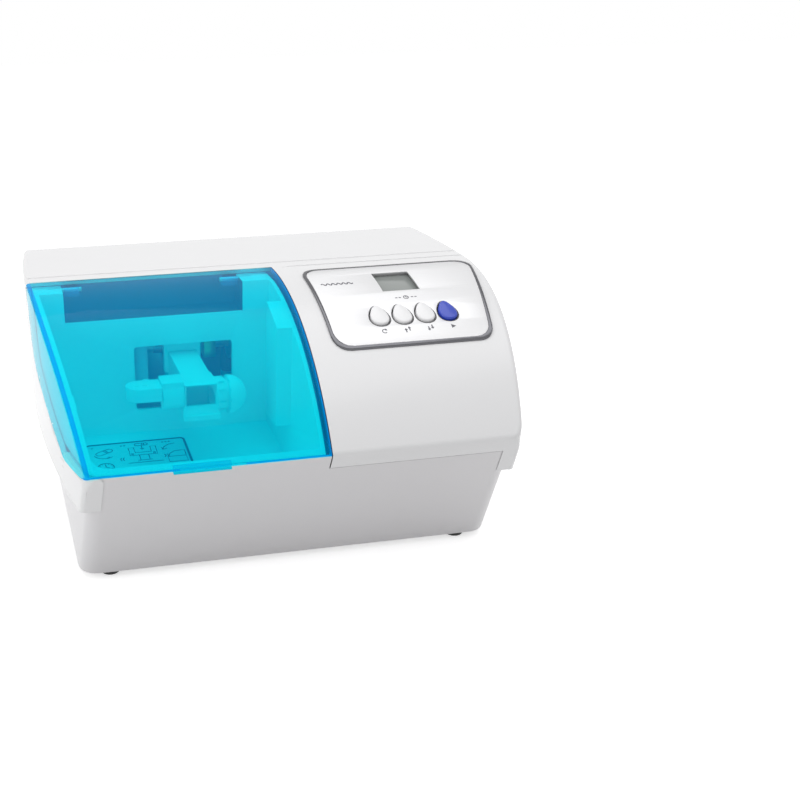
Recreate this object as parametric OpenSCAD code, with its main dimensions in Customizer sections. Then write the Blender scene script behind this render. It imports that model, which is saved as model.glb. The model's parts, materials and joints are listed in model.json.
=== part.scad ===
// Dental amalgamator: a bench machine that shakes a mixing capsule under a clear lid.
// Origin: on the table, at the bottom centre of the machine. +X to the keys, -Y to the user, +Z up.
// Sizes that name a place are given from the hood's datum, and in_frame() moves them to the origin.

/* [Housing] */
// Greatest width, across the bulged side walls
body_w = 250; // [240:1:262]
// Height of the flat top above the table
top_z = 135; // [133:1:139]
// Reach of the back wall behind the origin
back_y = 118; // [114:1:126]
// Height of the front rim, where the curved hood ends
rim_z = 73.5; // [72:0.5:76]
// Radius of the curved hood, seen from the side
hood_r = 143; // [139:1:147]
// Place where the hood meets the flat top
hood_y = 12; // [10:1:14]
// Radius of the side walls, seen from above
side_r = 610; // [560:10:900]
// Place where the housing is widest
side_y = 35; // [28:1:42]
// Rounding from the top into the back wall
back_r = 30; // [26:1:36]
// Wall of the upper housing
wall = 3; // [2.4:0.1:3.2]
// Lower edge of the side skirts at the back
skirt_back_z = 66; // [63:1:69]
// Lower edge of the side skirts at the front
skirt_front_z = 51; // [47:1:54]
// Height of the lip under the front rim, right of the lid
lip_h = 8; // [6:0.5:10]

/* [Tub] */
// Wall of the lower tub
tub_wall = 2.5; // [2:0.1:3]
// Width of the tub at its foot
base_w = 224; // [218:1:228]
// Reach of the tub's foot ahead of the origin
base_front = 70.5; // [67:0.5:73]
// Reach of the tub's foot behind the origin
base_back = 105.5; // [103:0.5:108]
// Diameter of a rubber foot
foot_d = 11; // [9:0.5:13]
// Height of a rubber foot below the tub
foot_h = 2.7; // [2:0.1:4]
// Distance of the feet from the middle, across
foot_x = 95.5; // [90:0.5:98]
// Thickness of the base plate that closes the tub from below
base_t = 2.5; // [2:0.1:3]
// Diameter of the ventilation holes in the floor
vent_d = 4.5; // [4.2:0.1:5]

/* [Lid] */
// Thickness of the clear lid
lid_t = 2.2; // [1.8:0.1:2.6]
// Place of the lid's right edge
lid_right = 10; // [8:0.5:11]
// Gap round the lid
lid_gap = 0.5; // [0.4:0.05:0.7]
// Height of the hinge axis above the table
hinge_z = 130.5; // [130:0.1:131]
// Diameter of a hinge pin
hinge_pin_d = 2.6; // [2.2:0.1:3]
// Width of a hinge knuckle
knuckle_w = 8; // [6:0.5:9]
// Width of the finger lip
grip_w = 28; // [20:1:34]

/* [Mixing chamber] */
// Wall of the chamber liner
liner_t = 2.2; // [1.8:0.1:2.6]
// Place of the back wall of the chamber
liner_back = 5; // [3:0.5:6]
// Floor of the chamber at its back wall
floor_back_z = 48; // [46:0.5:50]
// Floor of the chamber at its front
floor_front_z = 42; // [40:0.5:44]
// Width of the window behind the arm
window_w = 55; // [52:1:58]
// Height of the window behind the arm
window_h = 37; // [35:1:39]
// Underside of the hinge slot
slot_z = 115; // [113:0.5:116]

/* [Mixing head] */
// Middle of the arm, across
arm_x = -42; // [-44:0.5:-41]
// Place of the shaker bearing behind the origin
bearing_y = 46; // [45:0.5:50]
// Height of the shaker bearing
bearing_z = 84; // [82:0.5:86]
// Width of the arm
arm_w = 17; // [15:0.5:19]
// Reach of the arm ahead of the origin
arm_front = 46; // [42:1:48]
// Inner diameter of the bearing ring
bearing_bore = 12; // [11:0.5:13]
// Radial clearance of the bearing
bearing_play = 0.05; // [0.03:0.01:0.09]
// Diameter of the motor shaft
shaft_d = 6; // [5:0.5:7]
// Tilt of the crank sleeve on the shaft
crank_tilt = 3; // [2:0.5:3.5]
// Diameter of the dome of the fixed jaw
dome_d = 20.5; // [18:0.5:22]
// Diameter of the cup of the sliding jaw
cup_d = 15; // [13:0.5:16]
// Travel of the sliding jaw
jaw_travel = 6; // [4:0.5:7]

/* [Motor] */
// Diameter of the motor
motor_d = 58; // [54:1:60]
// Length of the stator stack
stack_l = 34; // [30:1:38]
// Middle of the motor, across
motor_x = 22; // [20:1:26]

/* [Keys and display] */
// Pitch of the keys
key_pitch = 12.3; // [12:0.1:13]
// Width of a key
key_w = 9.2; // [8.4:0.1:10]
// Length of a key
key_l = 14; // [12.5:0.1:15]
// Travel of a key
key_travel = 1.2; // [0.8:0.1:1.4]
// Angle of the row of keys round the hood, from the vertical
key_angle = 24.4; // [23:0.1:26]
// Middle of the row of keys
key_x = 69.5; // [68:0.1:71]
// Width of the display window
lcd_w = 20.5; // [18:0.5:23]
// Length of the display window round the hood
lcd_l = 20.4; // [18:0.1:21.5]
// Angle of the display round the hood, from the vertical
lcd_angle = 12.3; // [11:0.1:13]
// Thickness of the silver overlay
overlay_t = 0.8; // [0.6:0.1:1]

/* [Rear fittings] */
// Diameter of a fuse cap
fuse_cap_d = 14.9; // [13:0.1:15.5]
// Width of the mains switch
switch_w = 21; // [19:0.5:22]
// Height of the mains switch
switch_h = 13; // [12:0.5:14]
// Travel of the voltage selector
selector_travel = 4; // [3:0.5:5]
// Diameter of the mains cord
cord_d = 6; // [5.6:0.1:6.4]

/* [Hidden] */
$fn = 48;

// Small clearance between fixed pieces that meet
fit = 0.3;
half_w = body_w / 2;
side_cx = half_w - side_r;
hood_cz = top_z - hood_r;
rim_y = hood_y - sqrt(hood_r * hood_r - (rim_z - hood_cz) * (rim_z - hood_cz));
// The front wall leans back from the rim to the tub's foot
front_lean = (rim_y + base_front) / (rim_z - foot_h);
tub_in = wall + fit;
tub_back_top = back_y - tub_in;
back_lean = (tub_back_top - base_back) / (rim_z - foot_h);
back_tilt = atan(back_lean);
rear_z = 13.5;
lead_z = rear_z + 1;
lead_y = base_back + back_lean * (lead_z - foot_h);
relief_cap_d = 13.4;
relief_l = 21;
grip_d = 2;
corner_r = 9;
base_corner_r = 10;
rim_a = 90 + atan((hood_y - rim_y) / (rim_z - hood_cz));
lid_top_y = hood_y + 3.4;
hinge_y = hood_y + 1.6;
liner_in = wall + fit;
liner_step_z = rim_z;
liner_t_right = lid_t * 0.8 + 0.5;
liner_right = lid_right - liner_t_right - liner_t;
window_x = arm_x;
window_z = bearing_z - 4;
slot_left = -106;
slot_right = -9;
slot_depth = 17;
knuckle_d = 7.4;

function front_y(z) = rim_y + front_lean * (z - rim_z);
function arc(cx, cy, r, a0, a1, n) =
    [for (i = [0:n]) let (a = a0 + (a1 - a0) * i / n) [cx + r * cos(a), cy + r * sin(a)]];
function flip_order(pts) = [for (i = [len(pts) - 1:-1:0]) pts[i]];
function flip(pts) = [for (i = [len(pts) - 1:-1:0]) [-pts[i][0], pts[i][1]]];
// Middle of a corner rounding that runs smoothly into the side wall
function corner_x(g, r, y) = side_cx + sqrt(pow(side_r - g - r, 2) - pow(y - side_y, 2));
function plan_half(g, yf, yb, rf, rb) =
    let (
        xf = corner_x(g, rf, yf + rf),
        xb = corner_x(g, rb, yb - rb),
        af = atan((yf + rf - side_y) / (xf - side_cx)),
        ab = atan((yb - rb - side_y) / (xb - side_cx)))
    concat(arc(xf, yf + rf, rf, -90, af, 6),
           [for (i = [1:15]) let (a = af + (ab - af) * i / 16)
               [side_cx + (side_r - g) * cos(a), side_y + (side_r - g) * sin(a)]],
           arc(xb, yb - rb, rb, ab, 90, 6));
function plan(g, yf, yb, rf, rb) =
    let (h = plan_half(g, yf, yb, rf, rb)) concat(h, flip(h));
// Side outline of the upper housing, drawn g inside the outer faces
function side_outline(g) =
    concat(arc(hood_y, hood_cz, hood_r - g, rim_a, 90, 22),
           arc(back_y - back_r, top_z - back_r, back_r - g, 90, 0, 10),
           [[back_y - g, skirt_front_z - 9], [front_y(skirt_front_z - 9) + g, skirt_front_z - 9]]);

// Middle between the finger lip of the lid and the end of the strain relief
frame_y = (rim_y - grip_d + lead_y + relief_l * cos(back_tilt) + (cord_d / 2 + 1) * sin(back_tilt)) / 2;
module in_frame() translate([0, -frame_y, 0]) children();
module along_x(x0, x1) translate([x0, 0, 0]) rotate([90, 0, 90]) linear_extrude(x1 - x0) children();
module on_hood(x, a, r) translate([x, hood_y, hood_cz]) rotate([a, 0, 0]) translate([0, 0, r]) children();
module on_back(x, z)
    translate([x, base_back + back_lean * (z - foot_h), z]) rotate([-90 - back_tilt, 0, 0]) children();
module tube(do, di, h) difference() {
    cylinder(d = do, h = h);
    translate([0, 0, -1]) cylinder(d = di, h = h + 2);
}
module round_box(x, y, z, r) linear_extrude(z) rounded(x, y, r);
module rounded(x, y, r) polygon(concat(
    arc(x / 2 - r, y / 2 - r, r, 0, 90, 6), arc(r - x / 2, y / 2 - r, r, 90, 180, 6),
    arc(r - x / 2, r - y / 2, r, 180, 270, 6), arc(x / 2 - r, r - y / 2, r, 270, 360, 6)));
module housing_form(g) intersection() {
    along_x(-half_w - 1, half_w + 1) polygon(side_outline(g));
    linear_extrude(top_z + 1) polygon(plan(g, rim_y + g, back_y - g, corner_r - g, corner_r - g));
}

// Lower-rear edge of the lid's cheek, from the front rim to the top edge
cheek_edge = [[rim_y, rim_z], [-98, 71.8], [-84, 70.4], [-72, 69.5], [-67, 70.5], [-62, 73.5], [-40, 82.5],
              [-20, 90.5], [-8, 94.5], [0, 99], [5, 106], [9, 117], [12, 125], [lid_top_y, top_z]];
module cheek_outline(g) intersection() {
    translate([rim_y - 9, rim_z - 9]) square([hood_y - rim_y + 20, 90]);
    translate([0, -g]) polygon(concat(cheek_edge, [[lid_top_y, top_z + 9], [rim_y - 9, top_z + 9],
                                                   [rim_y - 9, rim_z]]));
}

// Upper housing
key_row = [for (i = [0:3]) key_x + (i - 1.5) * key_pitch];
screw_x = 99;
screw_front_y = -52;
screw_back_y = 84;
screw_posts = [[-screw_x, screw_back_y], [screw_x, screw_back_y], [screw_x, screw_front_y],
               [0, screw_back_y]];
post_d = 9;
post_pilot_d = 3.2;
post_foot_z = 20;

module upper_housing() in_frame() color("whitesmoke") difference() {
    union() {
        difference() {
            housing_form(0);
            housing_form(wall);
            skirt_cut();
        }
        // Wall between the mixing chamber and the keys
        intersection() {
            housing_form(0);
            along_x(lid_right + lid_gap, lid_right + lid_gap + wall) polygon(concat(
                [[liner_back, floor_back_z], [front_y(floor_back_z) + 8, floor_back_z]],
                [[rim_y + 5, rim_z + 2]], arc(hood_y, hood_cz, hood_r, rim_a, 80, 20),
                [[hood_y + 24, top_z - 1], [hood_y + 24, slot_z], [liner_back, slot_z]]));
        }
        // Screw posts that meet the posts of the tub
        intersection() {
            housing_form(wall / 2);
            for (p = screw_posts) translate([p[0], p[1], post_top_z + fit])
                cylinder(d = post_d, h = top_z);
        }
        // Ribs under the top, beside the vent of the motor
        intersection() {
            housing_form(wall / 2);
            for (x = [-70, 0, 70]) translate([x, 34, top_z - wall - 5]) cube([wall * 0.7, 60, 8]);
        }
    }
    lid_cut();
    for (p = screw_posts) translate([p[0], p[1], post_top_z]) cylinder(d = post_pilot_d, h = 16);
    for (x = key_row) on_hood(x, key_angle, hood_r - 20) linear_extrude(40) egg(key_w + 1.2, key_l + 1.2);
    on_hood(lcd_x, lcd_angle, hood_r - 12) linear_extrude(24) square([lcd_w + 3, lcd_l + 3], center = true);
    // Two fine grooves across the top
    for (p = grooves) translate([p[0], p[1], top_z - 0.6]) cube([half_w + 1 - p[0], 0.7, 2]);
}
lcd_x = key_x + 0.4;
// Half-width of the front between the two side skirts
skirt_x = 108;
// Half-width of the front that the lid reaches across, between the side walls
lip_half = 104;
post_top_z = 52;
// Grooves across the top: left end and place. The short one runs on from the lid's rear edge
grooves = [[-half_w - 1, hood_y + 14], [lid_right + 9, lid_top_y]];

// What lies below the skirts at the sides and the back, and below the lip at the front
module skirt_cut() {
    side_cut = [[rim_y - 20, skirt_front_z], [front_y(skirt_front_z), skirt_front_z],
                [back_y + 1, skirt_back_z], [back_y + 20, skirt_back_z], [back_y + 20, 0], [rim_y - 20, 0]];
    along_x(-half_w - 1, half_w + 1) polygon(side_cut);
    translate([-skirt_x, rim_y - 20, 0]) cube([2 * skirt_x, 80, rim_z - lip_h]);
}

// The room that the lid takes up in the housing
module lid_cut() {
    difference() {
        along_x(-half_w - 9, lid_right + lid_gap) polygon(concat(
            arc(hinge_y, hinge_z, knuckle_r + lid_gap, 0, 80, 9),
            [[lid_top_y, top_z + 9], [rim_y - 30, top_z + 9], [rim_y - 30, 30],
             [rim_y + 60, 30], [hinge_y + 2, hinge_z - 12]]));
        // The side wall stays, up to the lower edge of the cheek
        intersection() {
            difference() {
                housing_form(0);
                housing_form(wall);
            }
            along_x(-half_w - 10, -lip_half) difference() {
                translate([rim_y - 30, 0]) square([200, top_z - 1]);
                cheek_outline(lid_gap);
                translate([hinge_y, hinge_z]) circle(r = knuckle_r + lid_gap);
            }
        }
    }
}
knuckle_r = sqrt(pow(lid_top_y - hinge_y, 2) + pow(top_z - hinge_z, 2));

// Lower tub: open below, closed by the base plate
module tub_form(g, low) hull() {
    translate([0, 0, foot_h - low]) linear_extrude(0.01) rounded_base(g);
    translate([0, 0, rim_z + 1]) linear_extrude(0.01) tub_top(g);
}
module tub_top(g)
    polygon(plan(tub_in + g, front_y(rim_z + 1) + 0.2 + g * 1.1, tub_back_top - g, corner_r, corner_r));
module rounded_base(g) translate([0, (base_back - base_front) / 2])
    rounded(base_w - 2 * g, base_back + base_front - 2 * g, base_corner_r);

module lower_tub() in_frame() color("gainsboro") difference() {
    tub_form(0, 0);
    tub_form(tub_wall, 1);
    // The rim follows the skirts at the sides, and meets the lid at the front
    along_x(-half_w - 1, half_w + 1) polygon([[rim_y - 20, rim_z - fit], [front_y(rim_z) + 14, rim_z - fit],
        [front_y(rim_z) + 20, skirt_front_z + rim_lap], [back_y + 9, skirt_back_z + rim_lap],
        [back_y + 9, top_z], [rim_y - 20, top_z]]);
    translate([lid_right, rim_y - 20, rim_z - lip_h - fit]) cube([half_w, 60, 40]);
    rear_cuts();
}

module base_plate() in_frame() color("gainsboro") difference() {
    union() {
        translate([0, 0, foot_h]) linear_extrude(base_t) rounded_base(tub_wall + fit);
        for (p = screw_posts) translate([p[0], p[1], foot_h]) cylinder(d = post_d, h = post_top_z - foot_h);
        plate_posts() translate([0, 0, foot_h]) cylinder(d = 8, h = plate_z - foot_h);
    }
    for (p = screw_posts) translate([p[0], p[1], 0]) {
        cylinder(d = 3.6, h = post_top_z + 1);
        cylinder(d = 6.4, h = 40);
    }
    at_feet() cylinder(d = 3.2, h = 9);
    for (i = [-3:3], j = [0:3]) translate([i * vent_pitch - 30, j * vent_pitch - 46, 0])
        cylinder(d = vent_d, h = 9);
}
rim_lap = 9;
vent_pitch = 8.5;
foot_ys = [-base_front + 7.5, base_back - 9];
fuse_xs = [62.5, 43];
switch_x = 16;
selector_x = -23;
cord_x = -57.5;

// Openings and hand hollows in the tub's back wall
module rear_cuts() {
    for (x = fuse_xs) on_back(x, rear_z) translate([0, 0, -9]) cylinder(d = fuse_body_d + 2 * fit, h = 12);
    on_back(switch_x, rear_z + 0.5) translate([0, 0, -4])
        linear_extrude(8) square([switch_w - 3 + 2 * fit, switch_h - 2 + 2 * fit], center = true);
    on_back(selector_x, rear_z + 0.5) translate([0, 0, -4])
        linear_extrude(8) square([selector_slot_w, selector_slot_h], center = true);
    for (s = [-1, 1]) on_back(selector_x + s * selector_pitch / 2, rear_z + 0.5) translate([0, 0, -4])
        cylinder(d = 3.4, h = 8);
    on_back(cord_x, rear_z + 1) translate([0, 0, -9]) cylinder(d = relief_d + 2 * fit, h = 12);
    for (s = [-1, 1]) on_back(s * 83.5, 44.5) translate([0, 0, -1.4]) linear_extrude(6) intersection() {
        translate([lens_in, 0]) circle(r = lens_r);
        translate([-lens_in, 0]) circle(r = lens_r);
    }
}
fuse_body_d = 11;
selector_slot_w = 12.6;
selector_slot_h = 4.8;
selector_pitch = 28;
relief_d = 9.6;
lens_r = 30.8;
lens_in = 26.3;

// Chamber liner: the open mixing chamber, with its hinge slot and the window behind the arm
module liner_trim() intersection() {
    along_x(-half_w, liner_right + liner_t) intersection() {
        translate([hood_y, hood_cz]) circle(r = hood_r - lid_t - lid_gap, $fn = 160);
        translate([rim_y, 0]) square([150, top_z - wall - fit]);
    }
    liner_form(0);
}
// The liner is narrower below, where it stands in the tub
module liner_form(g) intersection() {
    linear_extrude(top_z)
        polygon(plan(liner_in + g, rim_y + 2 - g * 2, back_y - 9 + g * 2, corner_r - g, corner_r - g));
    union() {
        tub_form(tub_wall + fit + g, 1);
        translate([0, 0, rim_z + 1]) linear_extrude(g + 0.1) tub_top(tub_wall + fit + g);
        translate([0, 0, liner_step_z + g]) linear_extrude(top_z) square(2 * body_w, center = true);
    }
}
function liner_front(z) = front_y(z) + tub_wall * 1.2 + fit + liner_t * 1.1;
header_back = liner_back + slot_depth;

module chamber_liner() in_frame() color("white") difference() {
    intersection() {
        liner_trim();
        along_x(-half_w, liner_right + liner_t) polygon([
            [liner_front(floor_front_z) - liner_t * 1.1, floor_front_z - liner_t],
            [liner_back + liner_t, floor_back_z - liner_t],
            [liner_back + liner_t, slot_z - liner_t],
            [header_back + liner_t, slot_z - liner_t],
            [header_back + liner_t, top_z], [rim_y - 9, top_z],
            [liner_front(rim_z) - liner_t * 1.1, rim_z]]);
    }
    chamber_room();
    // Hinge slot in the header
    translate([slot_left, liner_back - 5, slot_z]) cube([slot_right - slot_left, slot_depth + 5, 40]);
    // Window for the arm
    translate([window_x, liner_back - 5, window_z]) rotate([-90, 0, 0])
        linear_extrude(12) rounded(window_w, window_h, 2);
    for (x = pin_xs) translate([x[0], hinge_y, hinge_z]) rotate([0, 90, 0])
        cylinder(d = hinge_pin_d + 0.1, h = x[1] - x[0]);
    // Room for the lid's rear edge as it swings down behind the pins
    along_x(-half_w, liner_right + liner_t + 1) polygon(concat(
        arc(hinge_y, hinge_z, knuckle_r + lid_gap, -14, 92, 12),
        flip_order(arc(hinge_y, hinge_z, top_z - lid_t - hinge_z - 0.2, -14, 92, 12))));
}
header_front = liner_back - 2;

// The free room inside the liner, between its posts
module chamber_room() difference() {
    intersection() {
        along_x(-half_w, liner_right) polygon([
            [liner_front(floor_front_z), floor_front_z],
            [liner_back, floor_back_z], [liner_back, slot_z], [header_front, slot_z],
            [header_front, top_z], [rim_y - 9, top_z], [liner_front(rim_z), rim_z]]);
        liner_form(liner_t);
    }
    translate([-half_w, -30, 0]) cube([half_w - 105, 20, 79]);
    translate([liner_right - 8, -46, 66]) cube([20, 22, 80]);
}
pin_xs = [[slot_left - 7, slot_left + knuckle_w + 3], [slot_right - knuckle_w - 3, slot_right + 7]];

module hinge_pins() in_frame() color("silver") for (x = pin_xs)
    translate([x[0] + fit, hinge_y, hinge_z]) rotate([0, 90, 0])
        cylinder(d = hinge_pin_d, h = x[1] - x[0] - 2 * fit);

// Lid: curved front, left cheek, right flange, knuckles and finger lip
module lid_plan(g) linear_extrude(top_z + 1)
    polygon(plan(g, rim_y - 1 - g * 3, back_y + g * 9, corner_r / 3, corner_r));
module lid() in_frame() color("deepskyblue", 0.5) difference() {
    union() {
        intersection() {
            along_x(-half_w - 1, lid_right) difference() {
                union() {
                    intersection() {
                        translate([hood_y, hood_cz]) circle(r = hood_r, $fn = 160);
                        translate([rim_y - 1, rim_z]) square([hood_y - rim_y + 1, 90]);
                    }
                    translate([hood_y - 1, top_z - lid_t]) square([lid_top_y - hood_y + 1, lid_t]);
                }
                translate([hood_y, hood_cz]) circle(r = hood_r - lid_t, $fn = 160);
            }
            lid_plan(0);
        }
        // Left cheek
        intersection() {
            difference() {
                lid_plan(0);
                lid_plan(lid_t);
            }
            along_x(-half_w - 1, -lip_half + 4) intersection() {
                cheek_outline(0);
                union() {
                    translate([hood_y, hood_cz]) circle(r = hood_r, $fn = 160);
                    translate([hood_y - 1, rim_z]) square([20, top_z - rim_z]);
                }
            }
        }
        // Right flange
        along_x(lid_right - lid_t * 0.8, lid_right) intersection() {
            difference() {
                translate([hood_y, hood_cz]) circle(r = hood_r - 1, $fn = 160);
                translate([hood_y, hood_cz]) circle(r = hood_r - lid_t - 5, $fn = 160);
            }
            translate([rim_y, rim_z + 4]) square([hood_y - rim_y - 4, 90]);
        }
        // Finger lip
        intersection() {
            along_x(grip_x - grip_w / 2, grip_x + grip_w / 2) polygon([[rim_y - grip_d, rim_z - 3.2],
                [rim_y - 0.4, rim_z - 3.2], [rim_y - 0.1, rim_z], [rim_y + 1.6, rim_z + 3],
                [rim_y, rim_z + 4]]);
        }
        // Knuckles round the hinge pins
        for (x = knuckle_xs) translate([x, hinge_y, hinge_z]) {
            rotate([0, 90, 0]) cylinder(d = knuckle_d, h = knuckle_w);
            translate([0, -3, 0]) cube([knuckle_w, 4.6, top_z - lid_t / 2 - hinge_z]);
        }
    }
    for (x = knuckle_xs) translate([x - 1, hinge_y, hinge_z]) rotate([0, 90, 0])
        cylinder(d = hinge_pin_d + 2 * 0.05, h = knuckle_w + 2);
}
grip_x = -53.5;
knuckle_xs = [slot_left + 1.2, slot_right - knuckle_w - 1.2];

// Switch that stops the motor while the lid is open
module lid_switch() in_frame() color("dimgray") {
    translate([liner_right - 22, header_back + liner_t + fit, slot_z + 1]) cube([20, 6.4, 10.5]);
    translate([liner_right - 20, header_back + liner_t + fit + 2, slot_z + 11.5]) cube([4, 2.4, 1.6]);
}

// Keys and display
module egg(w, l) polygon([for (i = [0:31]) let (t = i * 360 / 32)
    [w / 2 * cos(t) * (1 - 0.3 * sin(t)), l / 2 * sin(t)]]);

panel_left = 22.5;
panel_right_top = 118.5;
panel_right_low = 108.8;
panel_top_y = 3;
panel_low_y = -66;
panel_corner = 8.5;
function panel_corners(g) = [
    [panel_left + g + panel_corner, panel_low_y + g + panel_corner, 180, 270],
    [panel_right_low - g - panel_corner, panel_low_y + g + panel_corner, 270, 352],
    [panel_right_top - g - panel_corner, panel_top_y - g - panel_corner, 352, 450],
    [panel_left + g + panel_corner, panel_top_y - g - panel_corner, 90, 180]];
module panel_plan(g) polygon([for (c = panel_corners(g)) each arc(c[0], c[1], panel_corner, c[2], c[3], 5)]);
module hood_layer(r0, r1) along_x(0, half_w) intersection() {
    difference() {
        translate([hood_y, hood_cz]) circle(r = r1, $fn = 160);
        translate([hood_y, hood_cz]) circle(r = r0, $fn = 160);
    }
    translate([rim_y, rim_z]) square([hood_y - rim_y, 90]);
}
border_w = 1.6;

module control_overlay() in_frame() color("silver") difference() {
    intersection() {
        hood_layer(hood_r, hood_r + overlay_t);
        linear_extrude(top_z + 9) panel_plan(border_w + 0.05);
    }
    for (x = key_row) on_hood(x, key_angle, hood_r - 9) linear_extrude(20) egg(key_w + 1, key_l + 1);
    on_hood(lcd_x, lcd_angle, hood_r - 9) linear_extrude(20) square([lcd_w, lcd_l], center = true);
}
module overlay_border() in_frame() color("dimgray") intersection() {
    hood_layer(hood_r, hood_r + overlay_t + 0.2);
    linear_extrude(top_z + 9) difference() {
        panel_plan(0);
        panel_plan(border_w);
    }
}
module display_window() in_frame() color("lightsteelblue", 0.6) on_hood(lcd_x, lcd_angle, hood_r - wall)
    translate([-(lcd_w + 2) / 2, -(lcd_l + 2) / 2, 0]) cube([lcd_w + 2, lcd_l + 2, 1.2]);
module display_module() in_frame() color("darkslategray")
    on_hood(lcd_x, lcd_angle, hood_r - wall - fit - display_drop) {
    translate([-lcd_w / 2 - 3, -lcd_l / 2 - 2, -3.2]) cube([lcd_w + 6, lcd_l + 4, 3.2]);
    translate([-lcd_w / 2 - 1, -lcd_l / 2 - 1, -5]) cube([lcd_w + 2, 3, 2.4]);
}
// The flat display lies deeper than the curved housing above it
display_drop = pow(lcd_l / 2 + 2, 2) / (2 * hood_r) + 0.1;

// One key: egg-shaped cap on a stem, with a flange that keeps it in the housing
key_rise = 1.6 + overlay_t;
key_flange_z = -wall - 3;
module key(x, c) color(c) on_hood(x, key_angle, hood_r) {
    translate([0, 0, key_flange_z]) linear_extrude(key_rise - key_flange_z - 0.5) egg(key_w, key_l);
    translate([0, 0, key_rise - 0.5]) linear_extrude(0.5) egg(key_w - 1, key_l - 1);
    translate([0, 0, key_flange_z - 1]) linear_extrude(1) rounded(key_pitch - 0.7, key_l + 3, 1);
}
module key_recall() in_frame() key(key_row[0], "white");
module key_up() in_frame() key(key_row[1], "white");
module key_down() in_frame() key(key_row[2], "white");
module key_start() in_frame() key(key_row[3], "royalblue");

// Snap switches below the keys, and the board that carries them
switch_top_z = key_flange_z - 1 - key_travel - 0.15;
module key_switches() in_frame() color("black") for (x = key_row) on_hood(x, key_angle, hood_r) {
    translate([-3, -3, key_board_z]) cube([6, 6, switch_top_z - key_board_z - 1.2]);
    translate([0, 0, key_board_z + 1]) cylinder(d = 3.4, h = switch_top_z - key_board_z - 1);
}
key_board_z = -13;
module control_board() in_frame() color("darkgreen") on_hood(key_x, key_angle, hood_r + key_board_z) {
    translate([-2.44 * key_pitch, -key_l / 2 - 6.7, -1.6]) cube([4.43 * key_pitch, 56, 1.6]);
    translate([-20, 20, -7.6]) cube([26, 12, 6]);
    for (s = [-1, 1]) translate([s * 21 - 3, 36, -1.6]) cylinder(d = 6, h = 6.2);
}

// Instruction plate on the chamber floor
plate_label_w = 57;
plate_label_l = 38;
floor_tilt = atan((floor_back_z - floor_front_z) / (liner_back - liner_front(floor_front_z)));
module instruction_plate() in_frame() color("white")
    translate([label_left + plate_label_w / 2, label_back_y, floor_z(label_back_y)])
        rotate([floor_tilt, 0, 0]) translate([0, -plate_label_l / 2, 0.02])
            round_box(plate_label_w, plate_label_l, 0.4, 3);
label_left = 2.5 - lip_half;
label_back_y = liner_back - 11;
function floor_z(y) = floor_back_z - (liner_back - y) * tan(floor_tilt);

// Motor, on a steel plate that stands on rubber mounts
plate_x = 0;
plate_w = 176;
plate_y0 = 12;
plate_y1 = 94;
plate_z = 24;
plate_t = 2;
mount_h = 6;
deck_z = plate_z + mount_h;
module plate_posts() for (x = [-plate_w / 2 + 8, plate_w / 2 - 8], y = [plate_y0 + 8, plate_y1 - 8])
    translate([x + plate_x, y, 0]) children();
module rubber_mounts() in_frame() color("black") plate_posts() translate([0, 0, plate_z]) {
    cylinder(d = 10, h = mount_h);
    cylinder(d = 4, h = mount_h + plate_t + 1.6);
}
bell_l = 13;
module chassis_plate() in_frame() color("lightgray") difference() {
    union() {
        translate([plate_x - plate_w / 2, plate_y0, deck_z]) cube([plate_w, plate_y1 - plate_y0, plate_t]);
        // Cradle under the motor
        for (s = [-1, 1]) translate([motor_x + s * (stack_l / 2 - 3) - 1.5, bearing_y - 20, deck_z])
            cube([3, 40, bearing_z - deck_z - motor_d / 2 + 4]);
        // Outboard bearing pedestal at the far end of the shaft
        translate([shaft_x0 + 3, bearing_y - 11, deck_z]) cube([8, 22, bearing_z - deck_z + 11]);
    }
    translate([shaft_x0, bearing_y, bearing_z]) rotate([0, 90, 0]) cylinder(d = shaft_d + 0.1, h = 20);
    translate([motor_x - 40, bearing_y, bearing_z]) rotate([0, 90, 0]) cylinder(d = motor_d + 0.2, h = 80);
    plate_posts() cylinder(d = 4.4, h = 60);
    for (x = [-60, -42, -24]) translate([x, 62, deck_z - 1]) cylinder(d = 9, h = 9);
    for (p = screw_posts) translate([p[0], p[1], deck_z - 1]) cylinder(d = post_d + 1, h = 9);
}
shaft_x0 = arm_x - 27;
shaft_x1 = motor_x + stack_l / 2 + bell_l + 19;

module on_shaft(x) translate([x, bearing_y, bearing_z]) rotate([0, 90, 0]) children();
module motor_stator() in_frame() color("slategray") on_shaft(motor_x - stack_l / 2) difference() {
    cylinder(d = motor_d, h = stack_l);
    translate([0, 0, -1]) cylinder(d = rotor_d + 1, h = stack_l + 2);
    for (i = [0:11]) rotate(i * 30) translate([rotor_d / 2 + 4, -1.6, -1]) cube([6, 3.2, stack_l + 2]);
}
rotor_d = 30;
module motor_end_bells() in_frame() color("gainsboro") for (s = [-1, 1])
    on_shaft(motor_x + s * (stack_l / 2 + fit)) rotate([0, 90 - s * 90, 0]) difference() {
        union() {
            cylinder(d = motor_d - 2, h = 3);
            cylinder(d1 = motor_d - 8, d2 = 24, h = bell_l - 3);
            cylinder(d = 20, h = bell_l);
        }
        translate([0, 0, -1]) cylinder(d = shaft_d + 0.1, h = 40);
        translate([0, 0, -1]) cylinder(d = rotor_d + 6, h = 4.4);
        for (i = [0:5]) rotate(i * 60) translate([18, 0, -1]) cylinder(d = 6, h = 20);
    }
module motor_shaft() in_frame() color("silver")
    on_shaft(shaft_x0) cylinder(d = shaft_d, h = shaft_x1 - shaft_x0);
module motor_rotor() in_frame() color("gray") on_shaft(motor_x - stack_l / 2 + 1)
    tube(rotor_d, shaft_d, stack_l - 2);
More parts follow.
